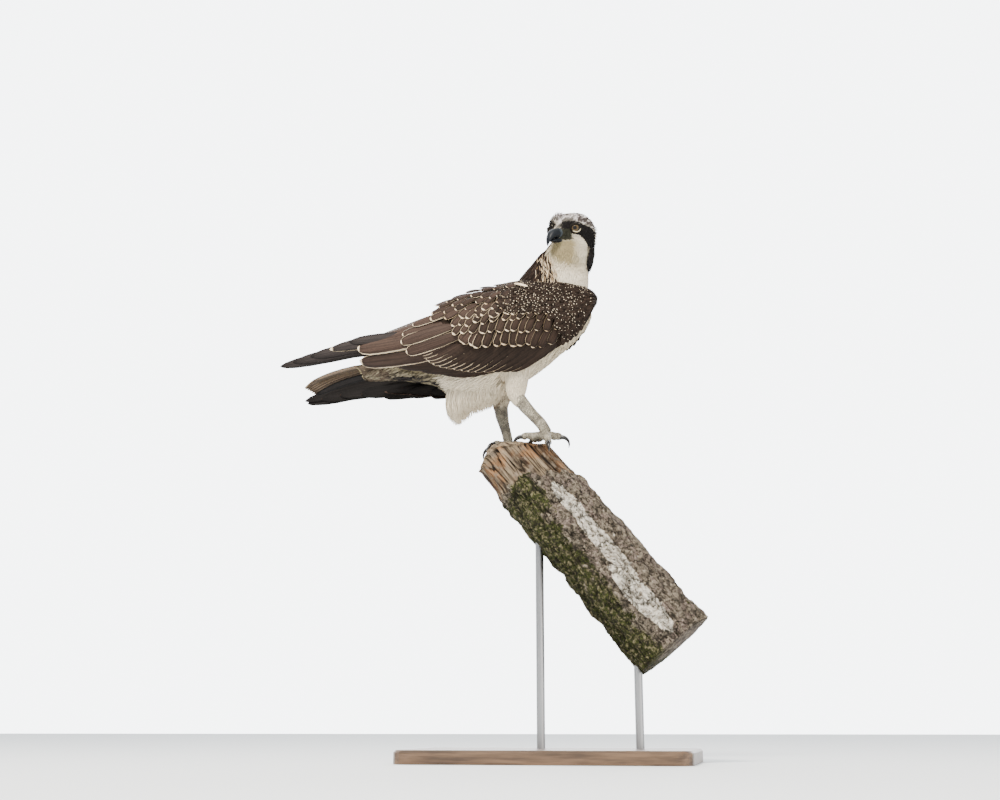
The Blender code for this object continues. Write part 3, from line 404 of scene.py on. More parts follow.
def sheetVanes(sheet, root, tip, half, lifts, roll, shape, across, settings):
    """Vanes on a curved sheet(u, v, lift): stations run from root to tip in (u, v), and each
    is widened square to the vane on the sheet, so that it follows every curve."""
    stations = vaneShapes[shape]
    share = np.array([s[0] for s in stations])[None]
    width = np.array([s[1] for s in stations])[None]
    rise = np.array([s[2] for s in stations])[None]
    run = tip - root
    bow = settings.get("bow", np.zeros(len(root)))[:, None]
    u = root[:, :1] + run[:, :1] * share
    v = root[:, 1:] + run[:, 1:] * share + bow * 4 * share * (1 - share)
    lift = lifts[:, :1] + (lifts[:, 1:] - lifts[:, :1]) * rise
    step = 0.0005
    here = sheet(u, v, lift)
    byU = (sheet(u + step, v, lift) - here) / step
    byV = (sheet(u, v + step, lift) - here) / step
    out = unitOf(sheet(u, v, lift + step) - here)
    along = byU * run[:, None, :1] + byV * (run[:, None, 1:] + (bow * 4 * (1 - 2 * share))[..., None])
    wide = unitOf(np.cross(out, along))
    wide = np.where((wide * byV).sum(-1, keepdims=True) > 0, -wide, wide)
    uu, uv, vv = (byU * byU).sum(-1), (byU * byV).sum(-1), (byV * byV).sum(-1)
    pu, pv = (byU * wide).sum(-1), (byV * wide).sum(-1)
    det = uu * vv - uv * uv
    turnU, turnV = (vv * pu - uv * pv) / det, (uu * pv - uv * pu) / det
    side, face = ringOrder(across)
    lean = settings.get("lean", 0.0)
    place = side - lean * (1 - np.abs(side))
    ragged = settings.get("ragged", 0.0)
    draw = np.random.RandomState(settings.get("seed", 1))
    fray = 1 + ragged * draw.uniform(-1, 1, (len(root), len(stations), 1)) * np.abs(side)
    reach = half[:, None, None] * width[..., None] * place * fray
    thick = settings.get("thick", 0.0007) * 0.5 * face * (1 - 0.4 * np.abs(side))
    camber = settings.get("camber", 0.10) * half[:, None, None] * (1 - side ** 2) * width[..., None]
    high = lift[..., None] + roll[:, None, None] * reach + thick + camber
    points = sheet(
        u[..., None] + turnU[..., None] * reach, v[..., None] + turnV[..., None] * reach, high
    )
    return points


def curvedVanes(centres, normals, half, shape, across, settings):
    """Vanes along given centre lines (vane, station, xyz) with a normal at each station."""
    stations = vaneShapes[shape]
    width = np.array([s[1] for s in stations])[None, :, None]
    tangent = np.empty_like(centres)
    tangent[:, 1:-1] = centres[:, 2:] - centres[:, :-2]
    tangent[:, 0] = centres[:, 1] - centres[:, 0]
    tangent[:, -1] = centres[:, -1] - centres[:, -2]
    wide = unitOf(np.cross(tangent, normals))
    side, face = ringOrder(across)
    reach = half[:, None, None] * width * side
    thick = settings.get("thick", 0.0004) * 0.5 * face
    camber = settings.get("camber", 0.25) * half[:, None, None] * (1 - side ** 2) * width
    return (
        centres[:, :, None]
        + wide[:, :, None] * reach[..., None]
        + normals[:, :, None] * (camber + thick)[..., None]
    )


def vanePiece(name, points, shape, across, material, seeds, looks, mapPlaces, mapSize):
    """One joined object from vanes of one shape, with its attributes and its bake map."""
    count, steps, ring = points.shape[:3]
    quads, tris = vaneFaces(count, steps, ring, across)
    if volumeSign(points[0], quads[: (steps - 1) * ring]) < 0:
        quads, tris = quads[:, ::-1], tris[:, ::-1]
    obj = meshFromArrays(name, points, quads, tris, material)
    place, spread = vaneAttributes(seeds, shape, across, looks)
    addVector(obj, "vane", place)
    addColour(obj, "tint", spread[0])
    addColour(obj, "fringe", spread[1])
    addVector(obj, "marks", spread[2])
    if len(spread) > 3:
        addVector(obj, "rim", spread[3])
    size = np.broadcast_to(np.asarray(mapSize, float), (count, 2))
    roots = np.repeat(mapPlaces, steps * ring, axis=0)
    spans = np.repeat(size, steps * ring, axis=0)
    own = np.stack([place[:, 0] * 0.5, place[:, 1] - 0.5], -1)
    addMap(obj, "OFBake", clampTo(roots + own * spans, 0.002, 0.998))
    return obj


def joinPieces(name, objects):
    """Joins objects of one material into the first, which takes the name."""
    if len(objects) > 1:
        with bpy.context.temp_override(
            active_object=objects[0], selected_editable_objects=objects, object=objects[0]
        ):
            bpy.ops.object.join()
    objects[0].name = name
    objects[0].data.name = name
    return objects[0]


# Colours of the plumage, in linear light

white = np.array([0.88, 0.79, 0.63])
cream = np.array([0.90, 0.72, 0.50])
olive = np.array([0.30, 0.245, 0.135])
tan = np.array([0.20, 0.145, 0.10])
buff = np.array([0.56, 0.38, 0.21])
brown = np.array([0.0175, 0.0108, 0.0075])
warmBrown = np.array([0.052, 0.0325, 0.0250])
dark = np.array([0.0062, 0.0050, 0.0048])
lavender = np.array([0.42, 0.40, 0.50])
loral = np.array([0.024, 0.024, 0.016])


# Forms of the bird, in its own frame between its feet

torsoRows = (
    (0.138, 0.207, 0.190, 0.012),
    (0.131, 0.226, 0.177, 0.028),
    (0.112, 0.238, 0.156, 0.042),
    (0.090, 0.243, 0.137, 0.051),
    (0.046, 0.242, 0.104, 0.058),
    (0.000, 0.235, 0.082, 0.059),
    (-0.030, 0.226, 0.074, 0.057),
    (-0.055, 0.214, 0.074, 0.053),
    (-0.080, 0.201, 0.090, 0.047),
    (-0.110, 0.184, 0.101, 0.039),
    (-0.160, 0.152, 0.110, 0.029),
    (-0.190, 0.134, 0.112, 0.022),
    (-0.212, 0.126, 0.113, 0.016),
)
neckRows = (
    (0.200, 0.076, 0.000, 0.0540, 0.048),
    (0.235, 0.077, 0.000, 0.0600, 0.050),
    (0.255, 0.083, 0.000, 0.0555, 0.044),
    (0.267, 0.088, -0.001, 0.0505, 0.041),
    (0.277, 0.0935, -0.003, 0.0460, 0.038),
    (0.288, 0.0990, -0.005, 0.0420, 0.035),
    (0.300, 0.1060, -0.006, 0.0370, 0.031),
    (0.309, 0.1095, -0.008, 0.0330, 0.029),
    (0.318, 0.1100, -0.009, 0.0240, 0.021),
)
headRows = (
    (-0.0425, 0.0040, -0.0180, 0.0090),
    (-0.0380, 0.0165, -0.0290, 0.0190),
    (-0.0280, 0.0265, -0.0350, 0.0275),
    (-0.0130, 0.0315, -0.0370, 0.0315),
    (0.0020, 0.0315, -0.0340, 0.0308),
    (0.0120, 0.0265, -0.0285, 0.0255),
    (0.0200, 0.0190, -0.0225, 0.0190),
    (0.0270, 0.0115, -0.0185, 0.0140),
    (0.0315, 0.0070, -0.0160, 0.0112),
)
thighJoints = {
    "right": (((0.0360, -0.021, 0.135), 0.0225), ((0.0325, -0.023, 0.112), 0.0190),
              ((0.0300, -0.025, 0.092), 0.0178), ((0.0298, -0.027, 0.077), 0.0155),
              ((0.0322, -0.028, 0.0675), 0.0128), ((0.0375, -0.0285, 0.0590), 0.0108)),
    "left": (((0.0120, 0.024, 0.135), 0.0250), ((0.0070, 0.026, 0.115), 0.0215),
             ((0.0005, 0.028, 0.098), 0.0185), ((-0.0040, 0.030, 0.084), 0.0155),
             ((-0.0060, 0.031, 0.0745), 0.0135), ((-0.0052, 0.031, 0.0640), 0.0115)),
}
headCentre = np.array([0.1090, -0.010, 0.3270])
eyePlace = np.array([0.0127, 0.0208, 0.0042])
eyeRadius = 0.0088
backZ, bellyZ, flankY = curvesOf(torsoRows)
neckX, neckY, neckReach, neckSide = curvesOf(neckRows)
crownZ, throatZ, cheekY = curvesOf(headRows)
headTurn = np.array(
    Matrix.Rotation(math.radians(-118.0), 3, "Z")
    @ Matrix.Rotation(math.radians(13.0), 3, "Y")
    @ Matrix.Rotation(math.radians(-8.0), 3, "X")
)


def fromHead(points):
    return np.asarray(points) @ headTurn.T + headCentre


def toHead(points):
    return (np.asarray(points) - headCentre) @ headTurn


def superRing(turns, power, lowPower):
    """Side and height of a rounded box outline, blunter as the power grows."""
    c, s = np.cos(turns), np.sin(turns)
    bend = np.where(s > 0, power, lowPower)
    return np.sign(c) * np.abs(c) ** (2 / bend), np.sign(s) * np.abs(s) ** (2 / bend)


def torsoForm(inset):
    xs = np.linspace(torsoRows[0][0] - 0.001, torsoRows[-1][0], 70)
    side, high = superRing(np.linspace(0, 2 * math.pi, 64, endpoint=False), 2.15, 1.85)
    top, bottom = backZ(xs) - inset, bellyZ(xs) + inset
    middle = bottom + 0.53 * (top - bottom)
    half = np.maximum(flankY(xs) - inset, 0.002)
    rings = np.empty((len(xs), 64, 3))
    rings[..., 0] = xs[:, None]
    rings[..., 1] = half[:, None] * side
    rings[..., 2] = middle[:, None] + high * np.where(high > 0, (top - middle)[:, None], (middle - bottom)[:, None])
    return tubeGrid(rings, rings[0].mean(0), rings[-1].mean(0))


def neckForm(inset):
    zs = np.linspace(neckRows[0][0], neckRows[-1][0], 40)
    turns = np.linspace(0, 2 * math.pi, 64, endpoint=False)
    rings = np.empty((len(zs), 64, 3))
    rings[..., 0] = neckX(zs)[:, None] + (neckReach(zs) - inset)[:, None] * np.cos(turns)
    rings[..., 1] = neckY(zs)[:, None] + (neckSide(zs) - inset)[:, None] * np.sin(turns)
    rings[..., 2] = zs[:, None]
    return tubeGrid(rings, rings[0].mean(0), rings[-1].mean(0))


def headForm(inset):
    xs = np.linspace(headRows[0][0], headRows[-1][0], 50)
    side, high = superRing(np.linspace(0, 2 * math.pi, 64, endpoint=False), 2.05, 2.6)
    top, bottom = crownZ(xs) - inset, throatZ(xs) + inset
    middle = 0.42 * top + 0.58 * bottom + 0.004
    rings = np.empty((len(xs), 64, 3))
    rings[..., 0] = xs[:, None]
    rings[..., 1] = np.maximum(cheekY(xs) - inset, 0.001)[:, None] * side
    rings[..., 2] = middle[:, None] + high * np.where(high > 0, (top - middle)[:, None], (middle - bottom)[:, None])
    points, quads, tris = tubeGrid(rings, rings[0].mean(0) - [0.0015, 0, 0], rings[-1].mean(0))
    return fromHead(points), quads, tris


def limbForm(joints, inset, count=32):
    """A round limb through joints of (place, radius), with many rings between them."""
    places = np.array([j[0] for j in joints])
    radii = np.array([j[1] for j in joints]) - inset
    knots = np.linspace(0, 1, len(joints))
    fine = np.linspace(0, 1, 8 * len(joints))
    curves = [smoothCurve(list(zip(knots, places[:, k]))) for k in range(3)]
    centre = np.stack([c(fine) for c in curves], -1)
    radius = smoothCurve(list(zip(knots, radii)))(fine)
    along = unitOf(np.gradient(centre, axis=0))
    across = unitOf(np.cross(along, np.array([0.03, 1.0, 0.02])))
    over = unitOf(np.cross(along, across))
    turns = np.linspace(0, 2 * math.pi, count, endpoint=False)
    rings = centre[:, None] + radius[:, None, None] * (
        across[:, None] * np.cos(turns)[None, :, None] + over[:, None] * np.sin(turns)[None, :, None]
    )
    start = centre[0] - along[0] * radius[0] * 0.5
    return tubeGrid(rings, start, centre[-1] + along[-1] * radius[-1] * 0.8)


def blendForms(name, forms, voxel, rounds, material):
    """Joins closed forms into one smooth surface: voxel remesh, then smoothing."""
    points, quads, tris, base = [], [], [], 0
    for p, q, t in forms:
        points.append(p)
        quads.append(np.asarray(q) + base)
        tris.append(np.asarray(t) + base)
        base += len(p)
    obj = meshFromArrays(name, np.concatenate(points), np.concatenate(quads), np.concatenate(tris), material)
    remesh = obj.modifiers.new("blend", "REMESH")
    remesh.mode = "VOXEL"
    remesh.voxel_size = voxel
    remesh.use_smooth_shade = True
    smooth = obj.modifiers.new("ease", "SMOOTH")
    smooth.factor = 0.5
    smooth.iterations = rounds
    settle(obj)
    if not obj.data.materials:
        obj.data.materials.append(material)
    return obj


def pointsOf(obj):
    flat = np.empty(len(obj.data.vertices) * 3)
    obj.data.vertices.foreach_get("co", flat)
    return flat.reshape(-1, 3) - birdShift


# Markings of head, neck and body, as functions of place. On the head, stripeFront gives the
# front border of the dark stripe by height and browZ and stripeBack its upper and rear ones;
# on the neck, whiteLow and whiteHigh give the bearings between which the front is white.

stripeFront = smoothCurve((
    (-0.052, -0.0165), (-0.0444, -0.0105), (-0.0358, -0.0036), (-0.0269, -0.0001), (-0.0193, 0.0017),
    (-0.0147, 0.0038), (-0.0100, 0.0066), (-0.0066, 0.0095), (-0.0040, 0.0180), (0.0000, 0.0300),
    (0.0080, 0.0300), (0.0130, 0.0262), (0.0200, 0.0190),
))
browZ = smoothCurve((
    (-0.045, -0.0100), (-0.030, -0.0050), (-0.0230, 0.0005), (-0.0138, 0.0062), (-0.0065, 0.0085),
    (0.0000, 0.0100), (0.0061, 0.0128), (0.0128, 0.0150), (0.0179, 0.0158), (0.0240, 0.0125), (0.0300, 0.0060),
))
stripeBack = smoothCurve((
    (-0.052, -0.0400), (-0.030, -0.0330), (-0.016, -0.0270), (-0.004, -0.0225), (0.010, -0.0200),
))
whiteLow = smoothCurve((
    (0.200, -56), (0.2334, -60), (0.2468, -68), (0.2557, -76), (0.2643, -84), (0.2730, -94),
    (0.2803, -106), (0.2860, -114), (0.2919, -126), (0.2970, -137), (0.3050, -139), (0.3130, -141),
))
whiteHigh = smoothCurve((
    (0.200, 85), (0.2200, 80), (0.2400, 62), (0.2540, 46), (0.2700, 26), (0.2829, 4), (0.2890, -9),
    (0.2968, -19), (0.3037, -26), (0.3150, -43),
))


def headShare(points):
    """1 on the head and 0 below it."""
    q = toHead(points)
    reach = np.sqrt((q[..., 0] / 0.050) ** 2 + (q[..., 1] / 0.040) ** 2 + ((q[..., 2] + 0.002) / 0.038) ** 2)
    return 1 - smoothStep(0.92, 1.12, reach)


def whiteFront(points, wander):
    """1 inside the white front of the neck, degrees beyond its border, and degrees turned."""
    z = points[..., 2]
    angle = np.degrees(np.arctan2(points[..., 1] - neckY(z), points[..., 0] - neckX(z)))
    low, high = whiteLow(z), whiteHigh(z)
    middle, half = 0.5 * (low + high), 0.5 * (high - low)
    turn = (angle - middle + 180) % 360 - 180
    away = np.abs(turn) + wander
    return 1 - smoothStep(-2.0, 3.5, away - half), away - half, turn


def bodyMarkings(points, draw):
    """Core colour, fringe colour and fringe width for feathers rooted at the points."""
    q = toHead(points)
    n = len(points)
    speck = draw.uniform(0, 1, n)
    patch = layeredNoise(points * 260, 3, 4)
    broad = layeredNoise(points * 60, 2, 6)
    wander = 0.0030 * (layeredNoise(points * 420, 2, 8) - 0.5)
    onHead = headShare(points)
    x, z, sideways = q[:, 0] + wander, q[:, 2] + wander, np.abs(q[:, 1])
    core = np.tile(white, (n, 1))
    width = np.full(n, 0.05)

    def lay(base, tone, share):
        return mixOf(base, tone, np.asarray(share)[:, None])

    # Crown and forehead: white with a painted sheen of cool sky light on top, grey-brown streaks that thicken back.
    brow = browZ(x) - 0.0026 * smoothStep(-0.006, -0.012, q[:, 1])
    top = smoothStep(-0.001, 0.002, z - brow)
    front = smoothStep(0.006, 0.024, x)
    core = lay(core, lavender, top * onHead * (0.35 + 0.35 * broad))
    streaky = smoothStep(0.46, 0.56, patch + 0.12 * (speck - 0.5) - 0.05 * front + 0.06 * smoothStep(0.0, -0.03, x))
    core = lay(core, brown * [2.4, 2.9, 3.6], top * streaky * onHead * (0.95 - 0.25 * front))
    low = smoothStep(0.007, 0.016, x) * smoothStep(0.030, 0.020, z) * smoothStep(-0.006, -0.002, z)
    core = lay(core, tan * [0.55, 0.68, 0.85], low * onHead * smoothStep(0.38, 0.50, patch) * 0.9)
    # Nape: white streaked with brown above, brown below.
    nape = smoothStep(0.0010, -0.0010, x - stripeBack(z)) * (1 - top)
    core = lay(core, brown * 1.3, nape * onHead * np.maximum(smoothStep(0.47, 0.55, patch), smoothStep(-0.004, -0.020, z)))
    # Dark stripe through the eye, with grey-green bristles below it in front.
    stripe = smoothStep(0.0008, -0.0008, x - stripeFront(z)) * smoothStep(0.0008, -0.0008, z - brow)
    stripe *= smoothStep(-0.0012, 0.0012, x - stripeBack(z)) * onHead
    core = lay(core, dark * (1.0 + 0.5 * speck[:, None]), stripe)
    loresHere = smoothStep(0.0172, 0.0205, x) * smoothStep(-0.0145, -0.0115, z) * smoothStep(0.0045, 0.0015, z)
    loresHere *= smoothStep(0.0035, 0.0060, sideways)
    core = lay(core, loral * (0.55 + 0.9 * speck[:, None]), loresHere * onHead)
    core = lay(core, dark * 1.5, loresHere * onHead * smoothStep(0.56, 0.66, patch) * 0.7)
    # Throat: olive painted shadow of the head below the bill, whiter at its sides and towards its base; a little buff
    # lower down.
    face, away, turn = whiteFront(points, 0.0)
    right = turn > 0
    height = points[:, 2]
    centre = smoothStep(60, 4, np.abs(turn + 18)) * smoothStep(0.252, 0.292, height)
    shade = (0.34 + 1.0 * centre * (0.6 + 0.7 * patch)) * smoothStep(0.246, 0.284, height)
    plain = (1 - stripe) * (1 - loresHere) * (1 - top) * (1 - nape)
    core = lay(core, olive, clampTo(shade) * plain * smoothStep(0.003, -0.016, z))
    core = lay(core, buff, 0.13 * plain * smoothStep(0.290, 0.262, height) * smoothStep(0.236, 0.262, height))
    # Hind neck and side of the neck: dark brown, streaked with buff towards the white.
    edge = core * 1.0
    underHead = smoothStep(0.3125, 0.3080, height) * smoothStep(0.000, -0.006, q[:, 1])
    onNeck = np.maximum(1 - onHead, underHead) * smoothStep(0.200, 0.212, height)
    brownHere = (1 - whiteFront(points, 6 * (patch - 0.5))[0]) * onNeck
    tone = mixOf(brown * 0.8, warmBrown * 0.8, (speck ** 2)[:, None])
    byCheek = smoothStep(60, 28, away) * smoothStep(0.250, 0.270, height) * right
    tone = mixOf(tone, dark * 1.6, byCheek[:, None])
    core = lay(core, tone, brownHere)
    near = smoothStep(48, 6, away) * smoothStep(0.300, 0.280, height) * smoothStep(0.205, 0.225, height)
    pale = ((speck * 7 % 1) < 0.02 + 0.10 * near) & ~right
    edge = lay(edge, np.where(pale[:, None], mixOf(buff, cream, (speck * 3 % 1)[:, None]), tone * 1.3), brownHere)
    width = mixOf(width, np.where(pale, 0.85, 0.10), brownHere)
    # Back: dark brown with narrow pale tips.
    bodyX, bodyZ = points[:, 0], points[:, 2]
    level = backZ(bodyX) - 0.30 * (backZ(bodyX) - bellyZ(bodyX))
    upper = smoothStep(-0.006, 0.006, bodyZ - level) * (1 - onNeck) * (1 - onHead)
    upper *= 1 - smoothStep(0.105, 0.120, bodyX)
    core = lay(core, mixOf(brown, warmBrown, 0.5 * speck[:, None]), upper)
    edge = lay(edge, warmBrown * 1.6, upper)
    width = mixOf(width, 0.16, upper)
    # Flank and undertail: white with a buff tint and olive painted shade, deepest on the undertail, and a dark painted
    # shadow low on the rear belly, both weaker on the far side; the far thigh darkened by painted shade.
    under = (1 - upper) * (1 - onNeck) * (1 - onHead)
    rear = smoothStep(-0.068, -0.090, bodyX)
    rows = layeredNoise(points * [60, 260, 260], 3, 12)
    core = lay(core, buff, 0.20 * under)
    # Olive painted shade on the flank, uneven and stronger towards the breast.
    core = lay(core, olive, clampTo(0.06 + 0.20 * broad + 0.35 * smoothStep(0.05, 0.10, bodyX)) * under)
    # Painted shade: olive over the undertail, weaker on the far side.
    unlit = smoothStep(0.008, 0.026, points[:, 1])
    core = lay(core, olive * 0.8, rear * under * (0.74 + 0.26 * smoothStep(0.4, 0.6, rows)) * (1 - 0.5 * unlit))
    # Painted shadow: dark low on the rear belly, under the body, also weaker on the far side.
    dim = smoothStep(0.032, 0.008, bodyZ - bellyZ(bodyX)) * smoothStep(-0.062, -0.080, bodyX)
    core = lay(core, dark * 2.2, under * dim * (0.50 + 0.50 * smoothStep(0.38, 0.56, rows)) * (1 - 0.7 * unlit))
    core = lay(core, tan * 0.45, under * smoothStep(-0.150, -0.172, bodyX) * smoothStep(0.30, 0.50, rows))
    # Painted shade on the far thigh: a grey-brown tint.
    farThighShade = smoothStep(0.010, 0.016, points[:, 1]) * smoothStep(0.100, 0.078, bodyZ)
    farThighShade *= smoothStep(0.045, 0.03, bodyX) * smoothStep(-0.04, -0.03, bodyX) * (1 - onNeck)
    core = lay(core, tan * 0.55, farThighShade * (0.45 + 0.5 * smoothStep(0.4, 0.6, patch)))
    edge = np.where(width[:, None] < 0.12, core, edge)
    core = core * (0.93 + 0.12 * speck[:, None])
    return core, edge, width


def skinMaterial():
    """The skin under the feathers, with the same markings, roughened a little."""
    material, tree, shader = newMaterial("skin")
    n = Nodes(tree)
    coords = n.make("ShaderNodeTexCoord").outputs["Object"]
    grain = n.noise(coords, 420.0, 3.0)
    tint = n.attribute("tint").outputs["Color"]
    shade = n.ramp(grain, 0.3, 0.7, 0.72, 1.0)
    n.join(n.mix(1.0, tint, n.merge(shade, shade, shade), "MULTIPLY"), shader.inputs["Base Color"])
    shader.inputs["Roughness"].default_value = 0.85
    shader.inputs["Specular IOR Level"].default_value = 0.2
    n.join(n.bump(grain, 0.5, 0.0006), shader.inputs["Normal"])
    return material


def buildSkin():
    forms = [torsoForm(0.0045), neckForm(0.0030), headForm(0.0014)]
    forms += [limbForm(thighJoints[side], 0.0018) for side in ("right", "left")]
    skin = blendForms("skin", forms, 0.0017, 10, skinMaterial())
    points = pointsOf(skin)
    q = toHead(points)
    for sign in (1, -1):
        away = q - eyePlace * [1, sign, 1]
        reach = np.linalg.norm(away, axis=1, keepdims=True)
        inside = reach[:, 0] < eyeRadius + 0.0006
        q[inside] = (q - away * (1 - (eyeRadius - 0.0012) / np.maximum(reach, 1e-6)))[inside]
    skin.data.vertices.foreach_set("co", (fromHead(q) + birdShift).ravel())
    skin.data.update()
    core, edge, width = bodyMarkings(fromHead(q), np.random.RandomState(2))
    colours = np.ones((len(q), 4))
    colours[:, :3] = core
    addColour(skin, "tint", colours)
    keepPiece(skin, ("torso", "neck", "head", "thigh_left", "thigh_right"))
    return skin


# The coat of small feathers

def lieOf(points, normals):
    """The way feathers lie: away from the bill on the head, down the neck and the thighs,
    and back along the body, drooping over the belly; always along the surface."""
    q = toHead(points)
    onHead = headShare(points)[:, None]
    away = q - np.array([0.034, 0.0, -0.004])
    headLie = unitOf(away) @ headTurn.T
    z = points[:, 2:3]
    x = points[:, 0:1]
    neckLie = np.concatenate([0 * x - 0.1, 0 * x, 0 * x - 1.0], 1)
    low = smoothStep(0.15, 0.09, z)
    bodyLie = np.concatenate([-1.0 + 0.5 * smoothStep(0.08, 0.14, x), 0 * x, -0.35 - 0.9 * smoothStep(0.06, 0.13, x) - 0.25 * low], 1)
    lie = mixOf(bodyLie, neckLie, smoothStep(0.205, 0.250, z))
    lie = mixOf(lie, headLie, onHead)
    for side in ("right", "left"):
        top, bottom = np.array(thighJoints[side][0][0]), np.array(thighJoints[side][-1][0])
        near = thighShare(points, side)[:, None]
        lie = mixOf(lie, unitOf(bottom - top), near)
    lie = lie - normals * (lie * normals).sum(-1, keepdims=True)
    return unitOf(lie)


def thighShare(points, side):
    """1 on the part of the thigh that stands clear of the belly."""
    joints = thighJoints[side]
    places = np.array([j[0] for j in joints])
    radii = np.array([j[1] for j in joints])
    order = np.argsort(places[:, 2])
    z = points[:, 2]
    x = np.interp(z, places[order, 2], places[order, 0])
    y = np.interp(z, places[order, 2], places[order, 1])
    r = np.interp(z, places[order, 2], radii[order])
    reach = np.hypot(points[:, 0] - x, points[:, 1] - y) / (r + 0.001)
    return (1 - smoothStep(1.05, 1.3, reach)) * (1 - smoothStep(0.112, 0.122, z))


def underWing(points):
    """True where a folded wing hides the body."""
    x, y, z = points[:, 0], np.abs(points[:, 1]), points[:, 2]
    angle = np.degrees(np.arctan2((z - envelopeZ(x)) / envelopeB(x), y / envelopeA(x)))
    left = points[:, 1] > 0
    low = lowEdge(x) + np.where(left, leftTuck(x), 0) + 14
    covered = (angle > low) & (angle < highEdge(x) - 6) & (x < 0.140) & (x > -0.060) & (y > 0.018)
    return covered & (headShare(points) < 0.1) & (z < 0.245)


def dropOnto(skin, spots):
    """Nearest places on the skin, and its normals there, for a whole array of spots: loose
    points are wrapped onto the skin twice, the second time a little above it."""
    found = []
    for offset in (0.0, 0.001):
        mesh = bpy.data.meshes.new("spots")
        mesh.vertices.add(len(spots))
        mesh.vertices.foreach_set("co", (spots + birdShift).ravel())
        obj = bpy.data.objects.new("spots", mesh)
        bpy.context.scene.collection.objects.link(obj)
        wrap = obj.modifiers.new("wrap", "SHRINKWRAP")
        wrap.target = skin
        wrap.wrap_mode = "ABOVE_SURFACE"
        wrap.offset = offset
        settle(obj)
        found.append(pointsOf(obj))
        bpy.data.objects.remove(obj)
    return found[0], unitOf(found[1] - found[0])


def sampleSkin(skin, count, seed):
    """Places spread evenly over the skin by area, with smooth normals."""
    mesh = skin.data
    mesh.calc_loop_triangles()
    corners = np.empty(len(mesh.loop_triangles) * 3, int)
    mesh.loop_triangles.foreach_get("vertices", corners)
    corners = corners.reshape(-1, 3)
    points = pointsOf(skin)
    normals = np.empty(len(mesh.vertices) * 3)
    mesh.vertices.foreach_get("normal", normals)
    normals = normals.reshape(-1, 3)
    a, b, c = (points[corners[:, k]] for k in range(3))
    area = np.linalg.norm(np.cross(b - a, c - a), axis=1)
    draw = np.random.RandomState(seed)
    chosen = np.searchsorted(np.cumsum(area) / area.sum(), draw.uniform(0, 1, count))
    chosen = np.minimum(chosen, len(area) - 1)
    r, s = np.sqrt(draw.uniform(0, 1, count)), draw.uniform(0, 1, count)
    shares = np.stack([1 - r, r * (1 - s), r * s], -1)
    places = sum(points[corners[chosen, k]] * shares[:, k:k + 1] for k in range(3))
    facing = unitOf(sum(normals[corners[chosen, k]] * shares[:, k:k + 1] for k in range(3)))
    return places, facing


def thinOut(places, spacing, seed):
    """Keeps one place in each small cell, so that they stand about spacing apart."""
    cells = np.floor(places / spacing + seed * 0.37).astype(int)
    key = cells[:, 0] * 73856093 ^ cells[:, 1] * 19349663 ^ cells[:, 2] * 83492791
    first = np.unique(key, return_index=True)[1]
    return first


def skinMap(points):
    """An unwrap of the skin's own shape: the head, neck, thighs and body each have a strip,
    with the angle round the part across and the way along it upwards."""
    q = toHead(points)
    headU = np.arctan2(q[:, 1], q[:, 2]) / (2 * math.pi) + 0.5
    headV = np.arccos(clampTo(q[:, 0] / np.linalg.norm(q, axis=1), -1, 1)) / math.pi
    x, y, z = points.T
    neckU = np.arctan2(y - neckY(z), x - neckX(z)) / (2 * math.pi) + 0.5
    neckV = clampTo((z - 0.2) / 0.12)
    bodyU = np.arctan2(y, z - 0.5 * (backZ(x) + bellyZ(x))) / (2 * math.pi) + 0.5
    bodyV = clampTo((x + 0.22) / 0.37)
    place = np.stack([0.01 + 0.48 * bodyU, 0.01 + 0.98 * bodyV], -1)
    onNeck = (z > 0.222)[:, None]
    place = np.where(onNeck, np.stack([0.51 + 0.24 * neckU, 0.01 + 0.46 * neckV], -1), place)
    onHead = (headShare(points) > 0.5)[:, None]
    place = np.where(onHead, np.stack([0.51 + 0.48 * headU, 0.50 + 0.48 * headV], -1), place)
    for side, offset in (("right", 0.76), ("left", 0.88)):
        middle = np.array(thighJoints[side][3][0])
        u = np.arctan2(y - middle[1], x - middle[0]) / (2 * math.pi) + 0.5
        legPlace = np.stack([offset + 0.11 * u, 0.01 + 0.46 * clampTo((z - 0.05) / 0.08)], -1)
        place = np.where((thighShare(points, side) > 0.5)[:, None], legPlace, place)
    return place


# Regions of the coat: spacing, length, half width, lift of the tips, shape, points across
coatRegions = {
    "face": {"spacing": 0.00105, "length": 0.0034, "half": 0.00048, "lift": 0.0006, "shape": "hair", "across": 3},
    "crown": {"spacing": 0.00125, "length": 0.0062, "half": 0.00075, "lift": 0.0010, "shape": "hair", "across": 3},
    "cheek": {"spacing": 0.00130, "length": 0.0062, "half": 0.00070, "lift": 0.0007, "shape": "hair", "across": 3},
    "throat": {"spacing": 0.00165, "length": 0.0095, "half": 0.00090, "lift": 0.0010, "shape": "hair", "across": 3},
    "neck": {"spacing": 0.00215, "length": 0.0150, "half": 0.0012, "lift": 0.0016, "shape": "small", "across": 3},
    "body": {"spacing": 0.00335, "length": 0.0160, "half": 0.0018, "lift": 0.0022, "shape": "hair", "across": 3},
    "vent": {"spacing": 0.00230, "length": 0.0230, "half": 0.0013, "lift": 0.0042, "shape": "hair", "across": 3},
    "thigh": {"spacing": 0.00160, "length": 0.0085, "half": 0.00085, "lift": 0.0010, "shape": "hair", "across": 3},
}
ventLocks = {"count": 4200, "half": 0.00095, "seed": 61}
ventEdge = smoothCurve((
    (-0.090, 0.0460), (-0.0790, 0.0420), (-0.0714, 0.0440), (-0.0580, 0.0525), (-0.0437, 0.0580),
    (-0.0208, 0.0655), (-0.0055, 0.0740), (0.0067, 0.0823), (0.0160, 0.0880),
))


